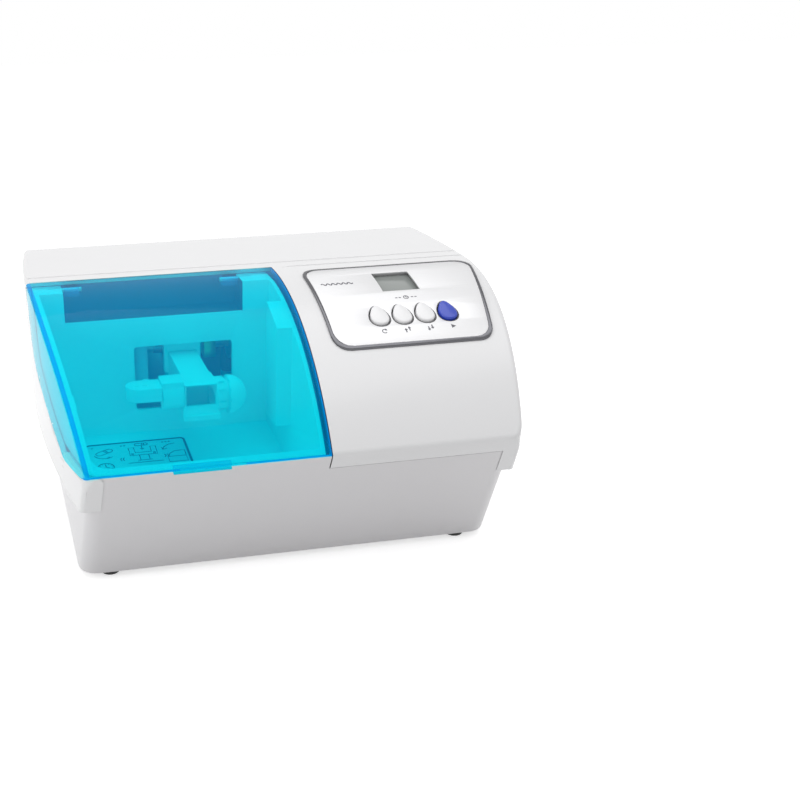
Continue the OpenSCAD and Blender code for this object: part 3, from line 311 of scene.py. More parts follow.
def plan_distance(p, front=RIM_Y, front_r=CORNER_R):
    """Distance outside the side walls and their corners, seen from above."""
    x, y = np.abs(p[:, 0]), p[:, 1]
    sign = np.where(p[:, 0] < 0, -1.0, 1.0)
    sx, sy = x - SIDE_CX, y - SIDE_Y
    sr = np.hypot(sx, sy)
    b = sr - SIDE_R
    nb = vec(sign * sx / sr, sy / sr, 0)
    for limit, toward, r in ((front, -1, front_r), (BACK_Y, 1, CORNER_R)):
        cy = limit - toward * r
        cx = SIDE_CX + math.sqrt((SIDE_R - r) ** 2 - (cy - SIDE_Y) ** 2)
        dx, dy = x - cx, y - cy
        dr = np.maximum(np.hypot(dx, dy), 1e-6)
        wall = toward * (y - limit)
        use_wall = (wall > b) & (dx <= 0)
        b = np.where(use_wall, wall, b)
        nb = np.where(use_wall[:, None], vec(0, toward, 0) + 0 * p, nb)
        tangent = (cy - SIDE_Y) / (cx - SIDE_CX)
        corner = (dx > 0) & (toward * (dy - dx * tangent) > 0)
        b = np.where(corner, dr - r, b)
        nb = np.where(corner[:, None], vec(sign * dx / dr, dy / dr, 0), nb)
    return b, nb


class ShellForm:
    """Rounded outer form: the side outline and the plan, with a rolling-ball edge between them."""

    def __init__(self, edge_r, low_z, front=RIM_Y, front_r=CORNER_R):
        self.edge_r, self.low_z, self.front, self.front_r = edge_r, low_z, front, front_r

    def side(self, p):
        return side_distance(p, self.low_z)[0]

    def plan(self, p):
        return plan_distance(p, self.front, self.front_r)[0]

    def both(self, p):
        a, na = side_distance(p, self.low_z)
        b, nb = plan_distance(p, self.front, self.front_r)
        return fillet(a, na, b, nb, self.edge_r)[0]


def shoot(origins, rays, distance, inset):
    near = np.zeros(len(origins))
    far = np.full(len(origins), 700.0)
    for _ in range(40):
        mid = (near + far) / 2
        outside = distance(origins + rays * mid[:, None]) > -inset
        far = np.where(outside, mid, far)
        near = np.where(outside, near, mid)
    return near


def rounded_shell(name, form, inset=SKIN, turns=360):
    """The outer form as one smooth closed solid, with its mesh lines along the rounded edge."""
    core = np.array([96.0, 8.0, 62.0])
    turn = np.arange(turns) * 2 * math.pi / turns
    origins = {sign: np.tile(core * [sign, 1, 1], (turns, 1)) for sign in (-1, 1)}

    def rays_at(tilt, sign):
        return np.stack([sign * np.sin(tilt), np.cos(tilt) * np.cos(turn), np.cos(tilt) * np.sin(turn)], 1)

    def edge_tilt(sign):
        low, high = np.zeros(turns), np.full(turns, math.radians(89))
        for _ in range(18):
            mid = (low + high) / 2
            rays = rays_at(mid, sign)
            # The back wall belongs to both outlines: a tie keeps to the side, so the edge runs on smoothly
            to_side, to_plan = (shoot(origins[sign], rays, outline, inset) for outline in (form.side, form.plan))
            on_side = to_side < to_plan + 0.02
            low, high = np.where(on_side, mid, low), np.where(on_side, high, mid)
        return low

    def columns(sign):
        edge = edge_tilt(sign)
        reach = shoot(origins[sign], rays_at(edge, sign), form.both, inset)
        spread = np.minimum(1.5 * form.edge_r / reach, edge * 0.8)
        tilts = [(edge - spread) * t for t in np.linspace(0, 1, 7)[1:]]
        tilts += [edge + spread * t for t in np.linspace(-1, 1, 13)[1:]]
        rest = math.radians(89) - edge - spread
        tilts += [edge + spread + rest * t**1.8 for t in np.linspace(0, 1, 21)[1:]]
        out = []
        for tilt in tilts:
            rays = rays_at(tilt, sign)
            out.append(origins[sign] + rays * shoot(origins[sign], rays, form.both, inset)[:, None])
        return out

    middle = []
    for x in np.linspace(-core[0], core[0], 13):
        start = np.tile([x, core[1], core[2]], (turns, 1))
        rays = rays_at(np.zeros(turns), 1)
        middle.append(start + rays * shoot(start, rays, form.both, inset)[:, None])
    grid = columns(-1)[::-1] + middle + columns(1)
    verts = [place(*v) for column in grid for v in column]
    faces = ring_faces(len(grid), turns)
    for end, sign in ((0, -1), (len(grid) - 1, 1)):
        pole = np.array([[sign, 0.0, 0.0]])
        start = core[None, :] * [sign, 1, 1]
        tip_at = start[0] + pole[0] * shoot(start, pole, form.both, inset)[0]
        verts.append(place(*tip_at))
        tip = len(verts) - 1
        for k in range(turns):
            a, b = end * turns + k, end * turns + (k + 1) % turns
            faces.append((a, b, tip) if sign > 0 else (b, a, tip))
    obj = add_mesh(name, verts, faces)
    face_outwards(obj)
    return obj


def plan_points(g, front, back, normals):
    """Points of the housing's plan whose outward directions are the given angles (right half)."""
    r = CORNER_R
    out = []
    for n in normals:
        ends = []
        for limit, toward in ((front + g * 1.1, -1), (back - g, 1)):
            cy = limit - toward * r
            cx = SIDE_CX + math.sqrt((SIDE_R - TUB_IN - g - r) ** 2 - (cy - SIDE_Y) ** 2)
            ends.append((cx, cy, math.atan2(cy - SIDE_Y, cx - SIDE_CX)))
        (fx, fy, fa), (bx, by, ba) = ends
        if n < fa:
            out.append((fx + r * math.cos(n), fy + r * math.sin(n)))
        elif n > ba:
            out.append((bx + r * math.cos(n), by + r * math.sin(n)))
        else:
            side_r = SIDE_R - TUB_IN - g
            out.append((SIDE_CX + side_r * math.cos(n), SIDE_Y + side_r * math.sin(n)))
    return out


def base_points(g, normals):
    """The same at the foot, where the plan is a rounded rectangle."""
    half, cy = BASE_W / 2 - g, (BASE_BACK - BASE_FRONT) / 2
    long_half = (BASE_BACK + BASE_FRONT) / 2 - g
    r = BASE_R
    out = []
    for n, side in normals:
        sy = -1 if (n < 0 or (n == 0 and side < 0)) else 1
        out.append((half - r + r * math.cos(n), cy + sy * (long_half - r) + r * math.sin(n)))
    return out


TUB_FOOT_R = 1.6


def rounded_tub(name, inset=SKIN):
    """The outer form of the lower tub, with a small rounding at its foot."""
    angles = [-math.pi / 2 + math.pi / 2 * i / 28 for i in range(29)]
    marks = [(a, -1) for a in angles] + [(-a, 1) for a in reversed(angles)]
    flat = [a for a, _ in marks]
    top_z = RIM_Z + 1
    top = plan_points(inset, front_y(top_z) + 0.2, TUB_BACK, flat)
    rings = []
    levels = [(FOOT_Z + TUB_FOOT_R * (1 - math.cos(t)), TUB_FOOT_R * (1 - math.sin(t))) for t in
              [math.pi / 2 * i / 5 for i in range(6)]]
    levels += [(z, 0) for z in (14, 28, 43, 58, top_z)]
    low = base_points(inset, marks)
    for z, back in levels:
        t = (z - FOOT_Z) / (top_z - FOOT_Z)
        ring = []
        for (bx, by), (tx, ty), (a, _) in zip(low, top, marks):
            x, y = bx + (tx - bx) * t, by + (ty - by) * t
            ring.append((x - back * math.cos(a), y - back * math.sin(a), z))
        ring = ring + [(-x, y, z) for x, y, z in reversed(ring)]
        rings.append(ring)
    count = len(rings[0])
    verts = [place(*v) for ring in rings for v in ring]
    faces = ring_faces(len(rings), count)
    faces.append(tuple(reversed(range(count))))
    faces.append(tuple((len(rings) - 1) * count + k for k in range(count)))
    obj = add_mesh(name, verts, faces)
    face_outwards(obj, merge=1e-6)
    return obj


# ---- mains cord, made first: lead, tied hank, tail to the plug

CORD_R = 3.0
LIE_Z = 3.1
PITCH = 6.2
HANK_LEFT, HANK_RUN, HANK_MID = -20.0, 103.0, BACK_Y + 66
TIE_X = HANK_LEFT + HANK_RUN / 2
HANK_OUT, LAP_R, LAP_RISE = 24.2, 21.1, 1.3
TIE_HALF, TIE_OUTER, TIE_INNER = 4, 9.3, 3.1
RELIEF_END = 21
LEAD_X, LEAD_Z = -57.5, 14.5
LEAD_Y = BASE_BACK + BACK_LEAN * (LEAD_Z - FOOT_Z)
PLUG_X, PLUG_Y, PLUG_Z = -88.0, HANK_MID - 4, 6.8


def relief_at(l):
    """A point on the lead's axis, at a distance out from the back wall."""
    return (LEAD_X, LEAD_Y + l * math.cos(BACK_TILT), LEAD_Z - l * math.sin(BACK_TILT))


def bend(p, n):
    """Points on the smooth curve that four points give, without the first."""
    out = []
    for i in range(1, n + 1):
        t = i / n
        w = ((1 - t) ** 3, 3 * t * (1 - t) ** 2, 3 * t * t * (1 - t), t**3)
        out.append(tuple(sum(w[k] * p[k][axis] for k in range(4)) for axis in range(3)))
    return out


def smoothstep(t):
    t = min(max(t, 0.0), 1.0)
    return t * t * (3 - 2 * t)


def hank_leg(r_end, r_tie, z, toward):
    """One run of the hank, drawn in to the tie at its middle."""
    steps, out = 14, []
    for i in range(1, steps):
        x = HANK_LEFT + HANK_RUN * i / steps
        pull = 1 - smoothstep((abs(x - TIE_X) - TIE_HALF) / (HANK_RUN / 2 - TIE_HALF))
        r = r_end + (r_tie - r_end) * pull
        out.append((x, HANK_MID + toward * r, z))
    return out if toward < 0 else out[::-1]


def cord_route():
    near, far, high = HANK_MID - HANK_OUT, HANK_MID + HANK_OUT, LIE_Z + PITCH
    relief_end = relief_at(RELIEF_END)
    path = [relief_at(2), relief_at(11), relief_end]
    path += bend([relief_end, relief_at(RELIEF_END + 26), (HANK_LEFT - 28, near, LIE_Z),
                  (HANK_LEFT, near, LIE_Z)], 14)
    # Each lap lies in one of four places: outer low, inner low, inner high, outer high
    middle_z, ring = LIE_Z + PITCH / 2, PITCH / math.sqrt(2)
    for spot in (-45, -135, -225, -315):
        a = math.radians(spot)
        r, z = LAP_R + ring * math.cos(a), middle_z + ring * math.sin(a)
        r_tie = TIE_OUTER if r > LAP_R else TIE_INNER
        path += hank_leg(r, r_tie, z, -1)
        for i in range(0, 13):
            t = -math.pi / 2 + math.pi * i / 12
            path.append((HANK_LEFT + HANK_RUN + r * math.cos(t), HANK_MID + r * math.sin(t), z))
        path += hank_leg(r, r_tie, z, 1)
        if spot == -315:
            break
        for i in range(0, 13):
            f = i / 12
            a = math.radians(spot - 90 * smoothstep(f))
            turn_r = LAP_R + ring * math.cos(a)
            turn_z = middle_z + ring * math.sin(a) + LAP_RISE * math.sin(math.pi * f) ** 2
            t = math.pi / 2 + math.pi * f
            path.append((HANK_LEFT + turn_r * math.cos(t), HANK_MID + turn_r * math.sin(t), turn_z))
    path.append((HANK_LEFT, far, high))
    path += bend([(HANK_LEFT, far, high), (HANK_LEFT - 18, far, high), (HANK_LEFT - 24, far, LIE_Z),
                  (HANK_LEFT - 40, far, LIE_Z)], 8)
    path += bend([(HANK_LEFT - 40, far, LIE_Z), (PLUG_X + 12.6, far, LIE_Z), (PLUG_X, PLUG_Y + 13, PLUG_Z),
                  (PLUG_X, PLUG_Y, PLUG_Z)], 10)
    return path


def make_cord():
    points = cord_route()
    curve = bpy.data.curves.new("mains_cord", "CURVE")
    curve.dimensions = "3D"
    curve.bevel_depth = CORD_R * MM
    curve.bevel_resolution = 3
    curve.use_fill_caps = True
    spline = curve.splines.new("POLY")
    spline.points.add(len(points) - 1)
    for point, p in zip(spline.points, points):
        point.co = (*place(*p), 1)
    spline.use_smooth = True
    obj = bpy.data.objects.new("mains_cord", curve)
    bpy.context.scene.collection.objects.link(obj)
    length = sum(math.dist(a, b) for a, b in zip(points, points[1:])) * MM
    return obj, length


mains_cord, cord_length = make_cord()

# ---- finishes


def node(tree, kind, x=0, y=0, **values):
    n = tree.nodes.new(kind)
    n.location = (x, y)
    for key, value in values.items():
        if key in n.inputs:
            n.inputs[key].default_value = value
        else:
            setattr(n, key, value)
    return n


def maths(tree, operation, first, second, x=0, y=0):
    """The result of a maths node on two values, each a number or another node's output."""
    n = node(tree, "ShaderNodeMath", x, y, operation=operation)
    for socket, value in zip(n.inputs, (first, second)):
        if isinstance(value, (int, float)):
            socket.default_value = value
        else:
            tree.links.new(value, socket)
    return n.outputs[0]


def seen_directly(tree, x, y):
    """1 for what the camera sees, straight or in metal and glass, and 0 for light on the object."""
    rays = node(tree, "ShaderNodeLightPath", x, y)
    straight = maths(tree, "MAXIMUM", rays.outputs["Is Camera Ray"], rays.outputs["Is Glossy Ray"], x + 200, y)
    return maths(tree, "MAXIMUM", straight, rays.outputs["Is Transmission Ray"], x + 350, y)


def new_group(name, inputs, outputs):
    group = bpy.data.node_groups.new(name, "ShaderNodeTree")
    for label, kind, value in inputs:
        socket = group.interface.new_socket(name=label, in_out="INPUT", socket_type=kind)
        socket.default_value = value
    for label, kind in outputs:
        group.interface.new_socket(name=label, in_out="OUTPUT", socket_type=kind)
    return group, node(group, "NodeGroupInput", -900), node(group, "NodeGroupOutput", 700)


def varied_colour(tree, inp, out, pattern, amount):
    """The group's colour, made lighter and darker by a pattern; gives the change."""
    middle = maths(tree, "SUBTRACT", pattern, 0.5, -400, 300)
    change = maths(tree, "MULTIPLY", middle, amount, -200, 300)
    tint = node(tree, "ShaderNodeVectorMath", 250, 300, operation="SCALE")
    tree.links.new(inp.outputs["Colour"], tint.inputs[0])
    tree.links.new(maths(tree, "ADD", change, 1.0, 0, 300), tint.inputs["Scale"])
    tree.links.new(tint.outputs[0], out.inputs["Colour"])
    return change


def moulded_skin_group():
    """Moulded plastic: fine skin in the height, slow change in gloss and in colour."""
    g, inp, out = new_group(
        "moulded_skin",
        [("Colour", "NodeSocketColor", (0.8, 0.8, 0.8, 1)), ("Variation", "NodeSocketFloat", 0.03),
         ("Gloss", "NodeSocketFloat", 0.25), ("Grain Scale", "NodeSocketFloat", 900.0)],
        [("Colour", "NodeSocketColor"), ("Roughness", "NodeSocketFloat"), ("Height", "NodeSocketFloat")])
    link = g.links.new
    coord = node(g, "ShaderNodeTexCoord", -900, 300)
    slow = node(g, "ShaderNodeTexNoise", -600, 300, Scale=14.0, Detail=3.0)
    fine = node(g, "ShaderNodeTexNoise", -600, 0, Detail=2.0)
    smear = node(g, "ShaderNodeTexNoise", -600, -300, Scale=55.0, Detail=5.0, Roughness=0.62)
    for noise in (slow, fine, smear):
        link(coord.outputs["Object"], noise.inputs["Vector"])
    link(inp.outputs["Grain Scale"], fine.inputs["Scale"])
    varied_colour(g, inp, out, slow.outputs["Fac"], inp.outputs["Variation"])
    rough = node(g, "ShaderNodeMapRange", -300, -250)
    for socket, value in (("From Min", 0.35), ("From Max", 0.75), ("To Min", 0.0), ("To Max", 0.015)):
        rough.inputs[socket].default_value = value
    link(smear.outputs["Fac"], rough.inputs["Value"])
    link(maths(g, "ADD", rough.outputs["Result"], inp.outputs["Gloss"], 0, -200), out.inputs["Roughness"])
    link(fine.outputs["Fac"], out.inputs["Height"])
    return g


def brushed_grain_group():
    """Brushed metal: long fine scratches along the piece's X."""
    g, inp, out = new_group(
        "brushed_grain",
        [("Colour", "NodeSocketColor", (0.6, 0.6, 0.6, 1)), ("Contrast", "NodeSocketFloat", 0.1),
         ("Gloss", "NodeSocketFloat", 0.3), ("Fineness", "NodeSocketFloat", 2600.0)],
        [("Colour", "NodeSocketColor"), ("Roughness", "NodeSocketFloat"), ("Height", "NodeSocketFloat")])
    link = g.links.new
    coord = node(g, "ShaderNodeTexCoord", -1100)
    stretch = node(g, "ShaderNodeMapping", -900, 100)
    stretch.inputs["Scale"].default_value = (0.02, 1, 1)
    link(coord.outputs["Object"], stretch.inputs["Vector"])
    fine = node(g, "ShaderNodeTexNoise", -650, 100, Detail=3.0, Roughness=0.7)
    link(stretch.outputs[0], fine.inputs["Vector"])
    link(inp.outputs["Fineness"], fine.inputs["Scale"])
    change = varied_colour(g, inp, out, fine.outputs["Fac"], inp.outputs["Contrast"])
    link(maths(g, "ADD", change, inp.outputs["Gloss"], 250, -100), out.inputs["Roughness"])
    link(fine.outputs["Fac"], out.inputs["Height"])
    return g


SKIN_GROUP = moulded_skin_group()
BRUSH_GROUP = brushed_grain_group()


def finish_material(name, group, settings, bump, metallic=0.0):
    mat = bpy.data.materials.new(name)
    mat.use_nodes = True
    tree = mat.node_tree
    bsdf = tree.nodes["Principled BSDF"]
    bsdf.inputs["Metallic"].default_value = metallic
    detail = node(tree, "ShaderNodeGroup", -500, 100)
    detail.node_tree = group
    for key, value in settings.items():
        detail.inputs[key].default_value = value
    tree.links.new(detail.outputs["Colour"], bsdf.inputs["Base Color"])
    tree.links.new(detail.outputs["Roughness"], bsdf.inputs["Roughness"])
    relief = node(tree, "ShaderNodeBump", -250, -200)
    relief.inputs["Strength"].default_value = 1.0
    relief.inputs["Distance"].default_value = bump * MM
    tree.links.new(detail.outputs["Height"], relief.inputs["Height"])
    tree.links.new(relief.outputs["Normal"], bsdf.inputs["Normal"])
    return mat


def plastic(name, colour, gloss, variation=0.03, grain=900.0, bump=0.004):
    settings = {"Colour": (*colour, 1), "Variation": variation, "Gloss": gloss, "Grain Scale": grain}
    return finish_material(name, SKIN_GROUP, settings, bump)


def metal(name, colour, gloss, contrast=0.1, fineness=2600.0, bump=0.002, metallic=1.0):
    settings = {"Colour": (*colour, 1), "Contrast": contrast, "Gloss": gloss, "Fineness": fineness}
    return finish_material(name, BRUSH_GROUP, settings, bump, metallic)


def lid_material(name, clear_tint, body_tint, body_share, gloss):
    """Clear plastic with a blue body: each of a wall's two faces tints what is seen through it."""
    mat = bpy.data.materials.new(name)
    mat.use_nodes = True
    tree = mat.node_tree
    link = tree.links.new
    body = tree.nodes["Principled BSDF"]
    body.inputs["Base Color"].default_value = (*body_tint, 1)
    body.inputs["Specular IOR Level"].default_value = 0.0
    body.inputs["Roughness"].default_value = 0.6
    detail = node(tree, "ShaderNodeGroup", -700, 100)
    detail.node_tree = SKIN_GROUP
    detail.inputs["Colour"].default_value = (*body_tint, 1)
    detail.inputs["Variation"].default_value = 0.06
    detail.inputs["Gloss"].default_value = gloss
    detail.inputs["Grain Scale"].default_value = 40.0
    link(detail.outputs["Colour"], body.inputs["Base Color"])
    clear = node(tree, "ShaderNodeBsdfTransparent", 0, -200)
    clear.inputs["Color"].default_value = (*clear_tint, 1)
    inner = node(tree, "ShaderNodeMixShader", 250, 100)
    inner.inputs["Fac"].default_value = body_share
    link(clear.outputs[0], inner.inputs[1])
    link(body.outputs[0], inner.inputs[2])
    shine = node(tree, "ShaderNodeBsdfGlossy", 250, -250)
    link(detail.outputs["Roughness"], shine.inputs["Roughness"])
    edge = node(tree, "ShaderNodeFresnel", 250, 350)
    edge.inputs["IOR"].default_value = 1.12
    # Only a face seen from outside shines: from inside, the edge would act as a full mirror
    facing = node(tree, "ShaderNodeNewGeometry", 0, 500)
    near = maths(tree, "SUBTRACT", 1.0, facing.outputs["Backfacing"], 250, 500)
    mix = node(tree, "ShaderNodeMixShader", 500, 150)
    link(maths(tree, "MULTIPLY", edge.outputs[0], near, 400, 400), mix.inputs["Fac"])
    link(inner.outputs[0], mix.inputs[1])
    link(shine.outputs[0], mix.inputs[2])
    # Light for what is under the lid passes it as through a pale tint
    rays = node(tree, "ShaderNodeLightPath", 250, 650)
    lamp = maths(tree, "MAXIMUM", rays.outputs["Is Shadow Ray"], rays.outputs["Is Diffuse Ray"], 500, 500)
    passed = node(tree, "ShaderNodeBsdfTransparent", 500, -150)
    passed.inputs["Color"].default_value = (0.62, 1, 1, 1)
    out = node(tree, "ShaderNodeMixShader", 750, 200)
    link(lamp, out.inputs["Fac"])
    link(mix.outputs[0], out.inputs[1])
    link(passed.outputs[0], out.inputs[2])
    link(out.outputs[0], tree.nodes["Material Output"].inputs["Surface"])
    return mat


# Each finish: its colour, then what its moulding or brushing needs
PLASTICS = {
    "white_shell": ((0.79, 0.79, 0.80), {"gloss": 0.24}),
    "tub_white": ((0.72, 0.71, 0.725), {"gloss": 0.28}),
    "base_white": ((0.72, 0.72, 0.73), {"gloss": 0.42, "bump": 0.012}),
    "liner_white": ((0.95, 0.95, 0.95), {"gloss": 0.34}),
    # painted shade: near-black for the faces in the lid's hinge slot
    "slot_shade_grey": ((0.06, 0.06, 0.07), {"gloss": 0.5}),
    "arm_white": ((0.92, 0.92, 0.92), {"gloss": 0.3}),
    "key_white": ((0.86, 0.86, 0.87), {"gloss": 0.3}),
    "key_blue": ((0.02, 0.055, 0.50), {"gloss": 0.2}),
    "black_plastic": ((0.012, 0.012, 0.013), {"gloss": 0.32, "variation": 0.2}),
    "rubber_black": ((0.016, 0.016, 0.016), {"gloss": 0.55, "variation": 0.25, "bump": 0.02}),
    "cord_black": ((0.014, 0.014, 0.015), {"gloss": 0.42, "variation": 0.2, "bump": 0.008}),
    "label_white": ((0.78, 0.78, 0.77), {"gloss": 0.3}),
    "print_black": ((0.02, 0.02, 0.022), {"gloss": 0.4}),
    "print_grey": ((0.10, 0.10, 0.12), {"gloss": 0.4}),
    "display_grey": ((0.28, 0.30, 0.29), {"gloss": 0.35}),
    "board_green": ((0.02, 0.12, 0.05), {"gloss": 0.35, "variation": 0.2}),
    "fan_white": ((0.7, 0.7, 0.68), {"gloss": 0.4}),
    # painted shade: near-black for faces deep inside the housing and the tub
    "inside_shade_grey": ((0.035, 0.035, 0.04), {"gloss": 0.5, "variation": 0.2}),
    "display_glass": ((0.30, 0.32, 0.31), {"gloss": 0.12}),
}
METALS = {
    "panel_silver": ((0.72, 0.72, 0.73), {"gloss": 0.5, "contrast": 0.10, "metallic": 0.5}),
    "panel_edge": ((0.12, 0.12, 0.13), {"gloss": 0.16, "contrast": 0.05}),
    "steel": ((0.56, 0.57, 0.58), {"gloss": 0.3}),
    "zinc": ((0.62, 0.63, 0.65), {"gloss": 0.38, "contrast": 0.2}),
    "chrome": ((0.75, 0.75, 0.76), {"gloss": 0.12, "contrast": 0.05}),
    "stator_iron": ((0.25, 0.25, 0.27), {"gloss": 0.45, "contrast": 0.35}),
    "bell_aluminium": ((0.66, 0.67, 0.68), {"gloss": 0.42}),
    "sleeve_steel": ((0.34, 0.34, 0.36), {"gloss": 0.25}),
    "brass": ((0.72, 0.52, 0.22), {"gloss": 0.3}),
    "bearing_bronze": ((0.60, 0.40, 0.20), {"gloss": 0.35}),
    "transformer_core": ((0.22, 0.21, 0.20), {"gloss": 0.5, "contrast": 0.5}),
}
FINISH = {name: plastic(name, colour, **settings) for name, (colour, settings) in PLASTICS.items()}
FINISH.update({name: metal(name, colour, **settings) for name, (colour, settings) in METALS.items()})
FINISH["lid_blue"] = lid_material("lid_blue", (0.11, 0.995, 1.0), (0.0, 0.46, 1.0), 0.2, 0.03)
FINISH["lid_edge"] = lid_material("lid_edge", (0.02, 0.70, 1.0), (0.0, 0.38, 1.0), 0.5, 0.05)
SLOT_OF = {part["node"]: part["material_slot"] for part in frame["record"]["subparts"]}


def finish_of(name):
    return FINISH[SLOT_OF[name]]


for name, obj in NODES.items():
    obj.data.materials.clear()
    obj.data.materials.append(finish_of(name))

# ---- housing, tub and lid: exact rounded outer forms with the CAD's openings and ribs inside

HOUSING_FORM = ShellForm(edge_r=3.0, low_z=36.0)
LID_FORM = ShellForm(edge_r=1.4, low_z=36.0, front=RIM_Y - 1, front_r=3.0)


CHEEK_X, CHEEK_BACK, RIM_SEEN_Y = -96, 20, -60
SKIRT_END, SKIRT_Z = 95.0, 51.0
FLUSH = 0.06


def skin_tree(obj):
    return BVHTree.FromPolygons([v.co for v in obj.data.vertices], [f.vertices for f in obj.data.polygons])


def paint_inside_shade(obj, skin, depth):
    """Faces deeper than the wall are painted near-black as shade inside the shell, but not by the cheek or behind
    the front rim.
    """
    obj.data.materials.append(FINISH["inside_shade_grey"])
    for face in obj.data.polygons:
        x, y, z = (v / MM for v in face.center)
        y += FRAME_Y
        seen = (x < CHEEK_X and y < CHEEK_BACK) or (z < RIM_Z + 4 and y < RIM_SEEN_Y)
        if not seen and skin.find_nearest(face.center)[3] > depth * MM:
            face.material_index = 1


def skirt_corner(sign):
    """The skirt's end at a front corner: it closes onto the tub and runs out along its front."""
    block = rounded_shell("skirt_corner", HOUSING_FORM, turns=240)
    foot = SKIRT_Z + 0.3
    outline = [(sign * 60, -70), (sign * 130, -70), (sign * 130, RIM_Y - 20), (sign * SKIRT_END, RIM_Y - 20),
               (sign * SKIRT_END, front_y(foot) + 6), (sign * 90, -78)]
    combine(block, prism_z("skirt_room", outline, foot, RIM_Z - 0.5), "INTERSECT")
    combine(block, rounded_tub("tub_room", inset=-0.15), "DIFFERENCE")
    return block


def housing_shell():
    shell = rounded_shell("upper_housing_shown", HOUSING_FORM)
    skin = skin_tree(shell)
    combine(shell, merged_copy("upper_housing", "housing_inner"), "INTERSECT")
    for sign in (-1, 1):
        combine(shell, skirt_corner(sign), "UNION")
    # Nothing of the shell stands ahead of the tub's front at the two corners
    top, foot, ahead_y = RIM_Z - 0.2, SKIRT_Z - 4, RIM_Y - 30
    outline = [(ahead_y, top), (front_y(top) + FLUSH, top), (front_y(foot) + FLUSH, foot), (ahead_y, foot)]
    for x0, x1 in ((-130, -92), (104, 130)):
        combine(shell, prism_x("room_ahead", outline, x0, x1), "DIFFERENCE")
    finish_piece(shell, FINISH["white_shell"], nodes=("upper_housing",), angle=30)
    paint_inside_shade(shell, skin, WALL - 0.4)


def tub_shell():
    shell = rounded_tub("lower_tub_shown")
    skin = skin_tree(shell)
    combine(shell, merged_copy("lower_tub", "tub_inner"), "INTERSECT")
    finish_piece(shell, FINISH["tub_white"], nodes=("lower_tub",), angle=30)
    paint_inside_shade(shell, skin, TUB_WALL - 0.4)


GRIP_X, GRIP_W = -53.5, 28.0
LID_RIGHT = 10.0
# Widths of the lid's deep blue edges: at the left, at the right and above the rim
STRIP, RIGHT_STRIP, RIM_STRIP = 2.4, 0.5, 1.0
STRIP_DEPTH = 2.6


def lid_shell():
    outer = rounded_shell("lid_shown", LID_FORM, inset=0.1)
    combine(outer, merged_copy("lid", "lid_inner"), "INTERSECT")
    lip = prism_x("finger_lip", [
        (RIM_Y - 2, RIM_Z - 0.6), (RIM_Y - 0.3, RIM_Z - 0.6), (RIM_Y - 0.1, RIM_Z), (RIM_Y + 1.6, RIM_Z + 3),
        (RIM_Y + 0.2, RIM_Z + 3.2)], GRIP_X - GRIP_W / 2, GRIP_X + GRIP_W / 2)
    soften(lip, 0.35)
    combine(outer, lip, "UNION")
    mark_lid_edges(outer)
    marked = [face.material_index for face in outer.data.polygons]
    finish_piece(outer, FINISH["lid_blue"], nodes=("lid",), angle=30)
    outer.data.materials.append(FINISH["lid_edge"])
    outer.data.polygons.foreach_set("material_index", marked)


def cut_along(bm, faces, spot, across):
    geom = list({e for f in faces for e in f.edges} | {v for f in faces for v in f.verts} | set(faces))
    bmesh.ops.bisect_plane(bm, geom=geom, dist=1e-7, plane_co=spot, plane_no=across)


def strip_x(y):
    """Half the width of the sheet inside its side strips."""
    return SIDE_CX + math.sqrt((SIDE_R - STRIP) ** 2 - (y - SIDE_Y) ** 2)


def mark_lid_edges(obj):
    """The rim of the sheet, where one looks along the plastic, as its own deep blue strips."""
    bm = bmesh.new()
    bm.from_mesh(obj.data)
    cut_along(bm, bm.faces[:], place(LID_RIGHT - RIGHT_STRIP, 0, 0), (1, 0, 0))
    cut_along(bm, bm.faces[:], place(0, 0, RIM_Z + RIM_STRIP), (0, 0, 1))
    marks = [RIM_Y - 3 + (HOOD_Y + 6 - RIM_Y) * i / 7 for i in range(8)]
    for y in marks:
        cut_along(bm, bm.faces[:], place(0, y, 0), (0, 1, 0))
    for y0, y1 in zip(marks, marks[1:]):
        low, high = place(-strip_x(y0), y0, 0), place(-strip_x(y1), y1, 0)
        faces = [f for f in bm.faces if low.y < f.calc_center_median().y < high.y]
        run = high - low
        cut_along(bm, faces, low, (-run.y, run.x, 0))
    bm.normal_update()
    for face in bm.faces:
        x, y, z = (v / MM for v in face.calc_center_median())
        y += FRAME_Y
        on_sheet = math.hypot(y - HOOD_Y, z - HOOD_CZ) > HOOD_R - STRIP_DEPTH
        at_side = x < -strip_x(y) and abs(face.normal.x) < 0.8
        at_rim = z < RIM_Z + RIM_STRIP and y < RIM_Y + 3 and not abs(x - GRIP_X) < GRIP_W / 2
        face.material_index = int(x > LID_RIGHT - RIGHT_STRIP or (on_sheet and at_side) or at_rim)
    bm.to_mesh(obj.data)
    bm.free()


housing_shell()
tub_shell()
lid_shell()

# ---- keys and printed marks on the panel

KEY_X, KEY_PITCH, KEY_ANGLE = 69.5, 12.3, 24.4
KEY_W, KEY_L = 9.2, 14.0
OVERLAY_T = 0.8
KEY_RISE = 1.6 + OVERLAY_T
KEY_FLANGE_Z = -WALL - 3
KEY_XS = [KEY_X + (i - 1.5) * KEY_PITCH for i in range(4)]


KEY_POINTS = 48
KEY_EDGE_R, KEY_CROWN = 0.9, 0.35


def egg(w, l):
    """The keys' outline, wider at its lower end."""
    turns = [2 * math.pi * i / KEY_POINTS for i in range(KEY_POINTS)]
    return [(w / 2 * math.cos(t) * (1 - 0.3 * math.sin(t)), l / 2 * math.sin(t)) for t in turns]


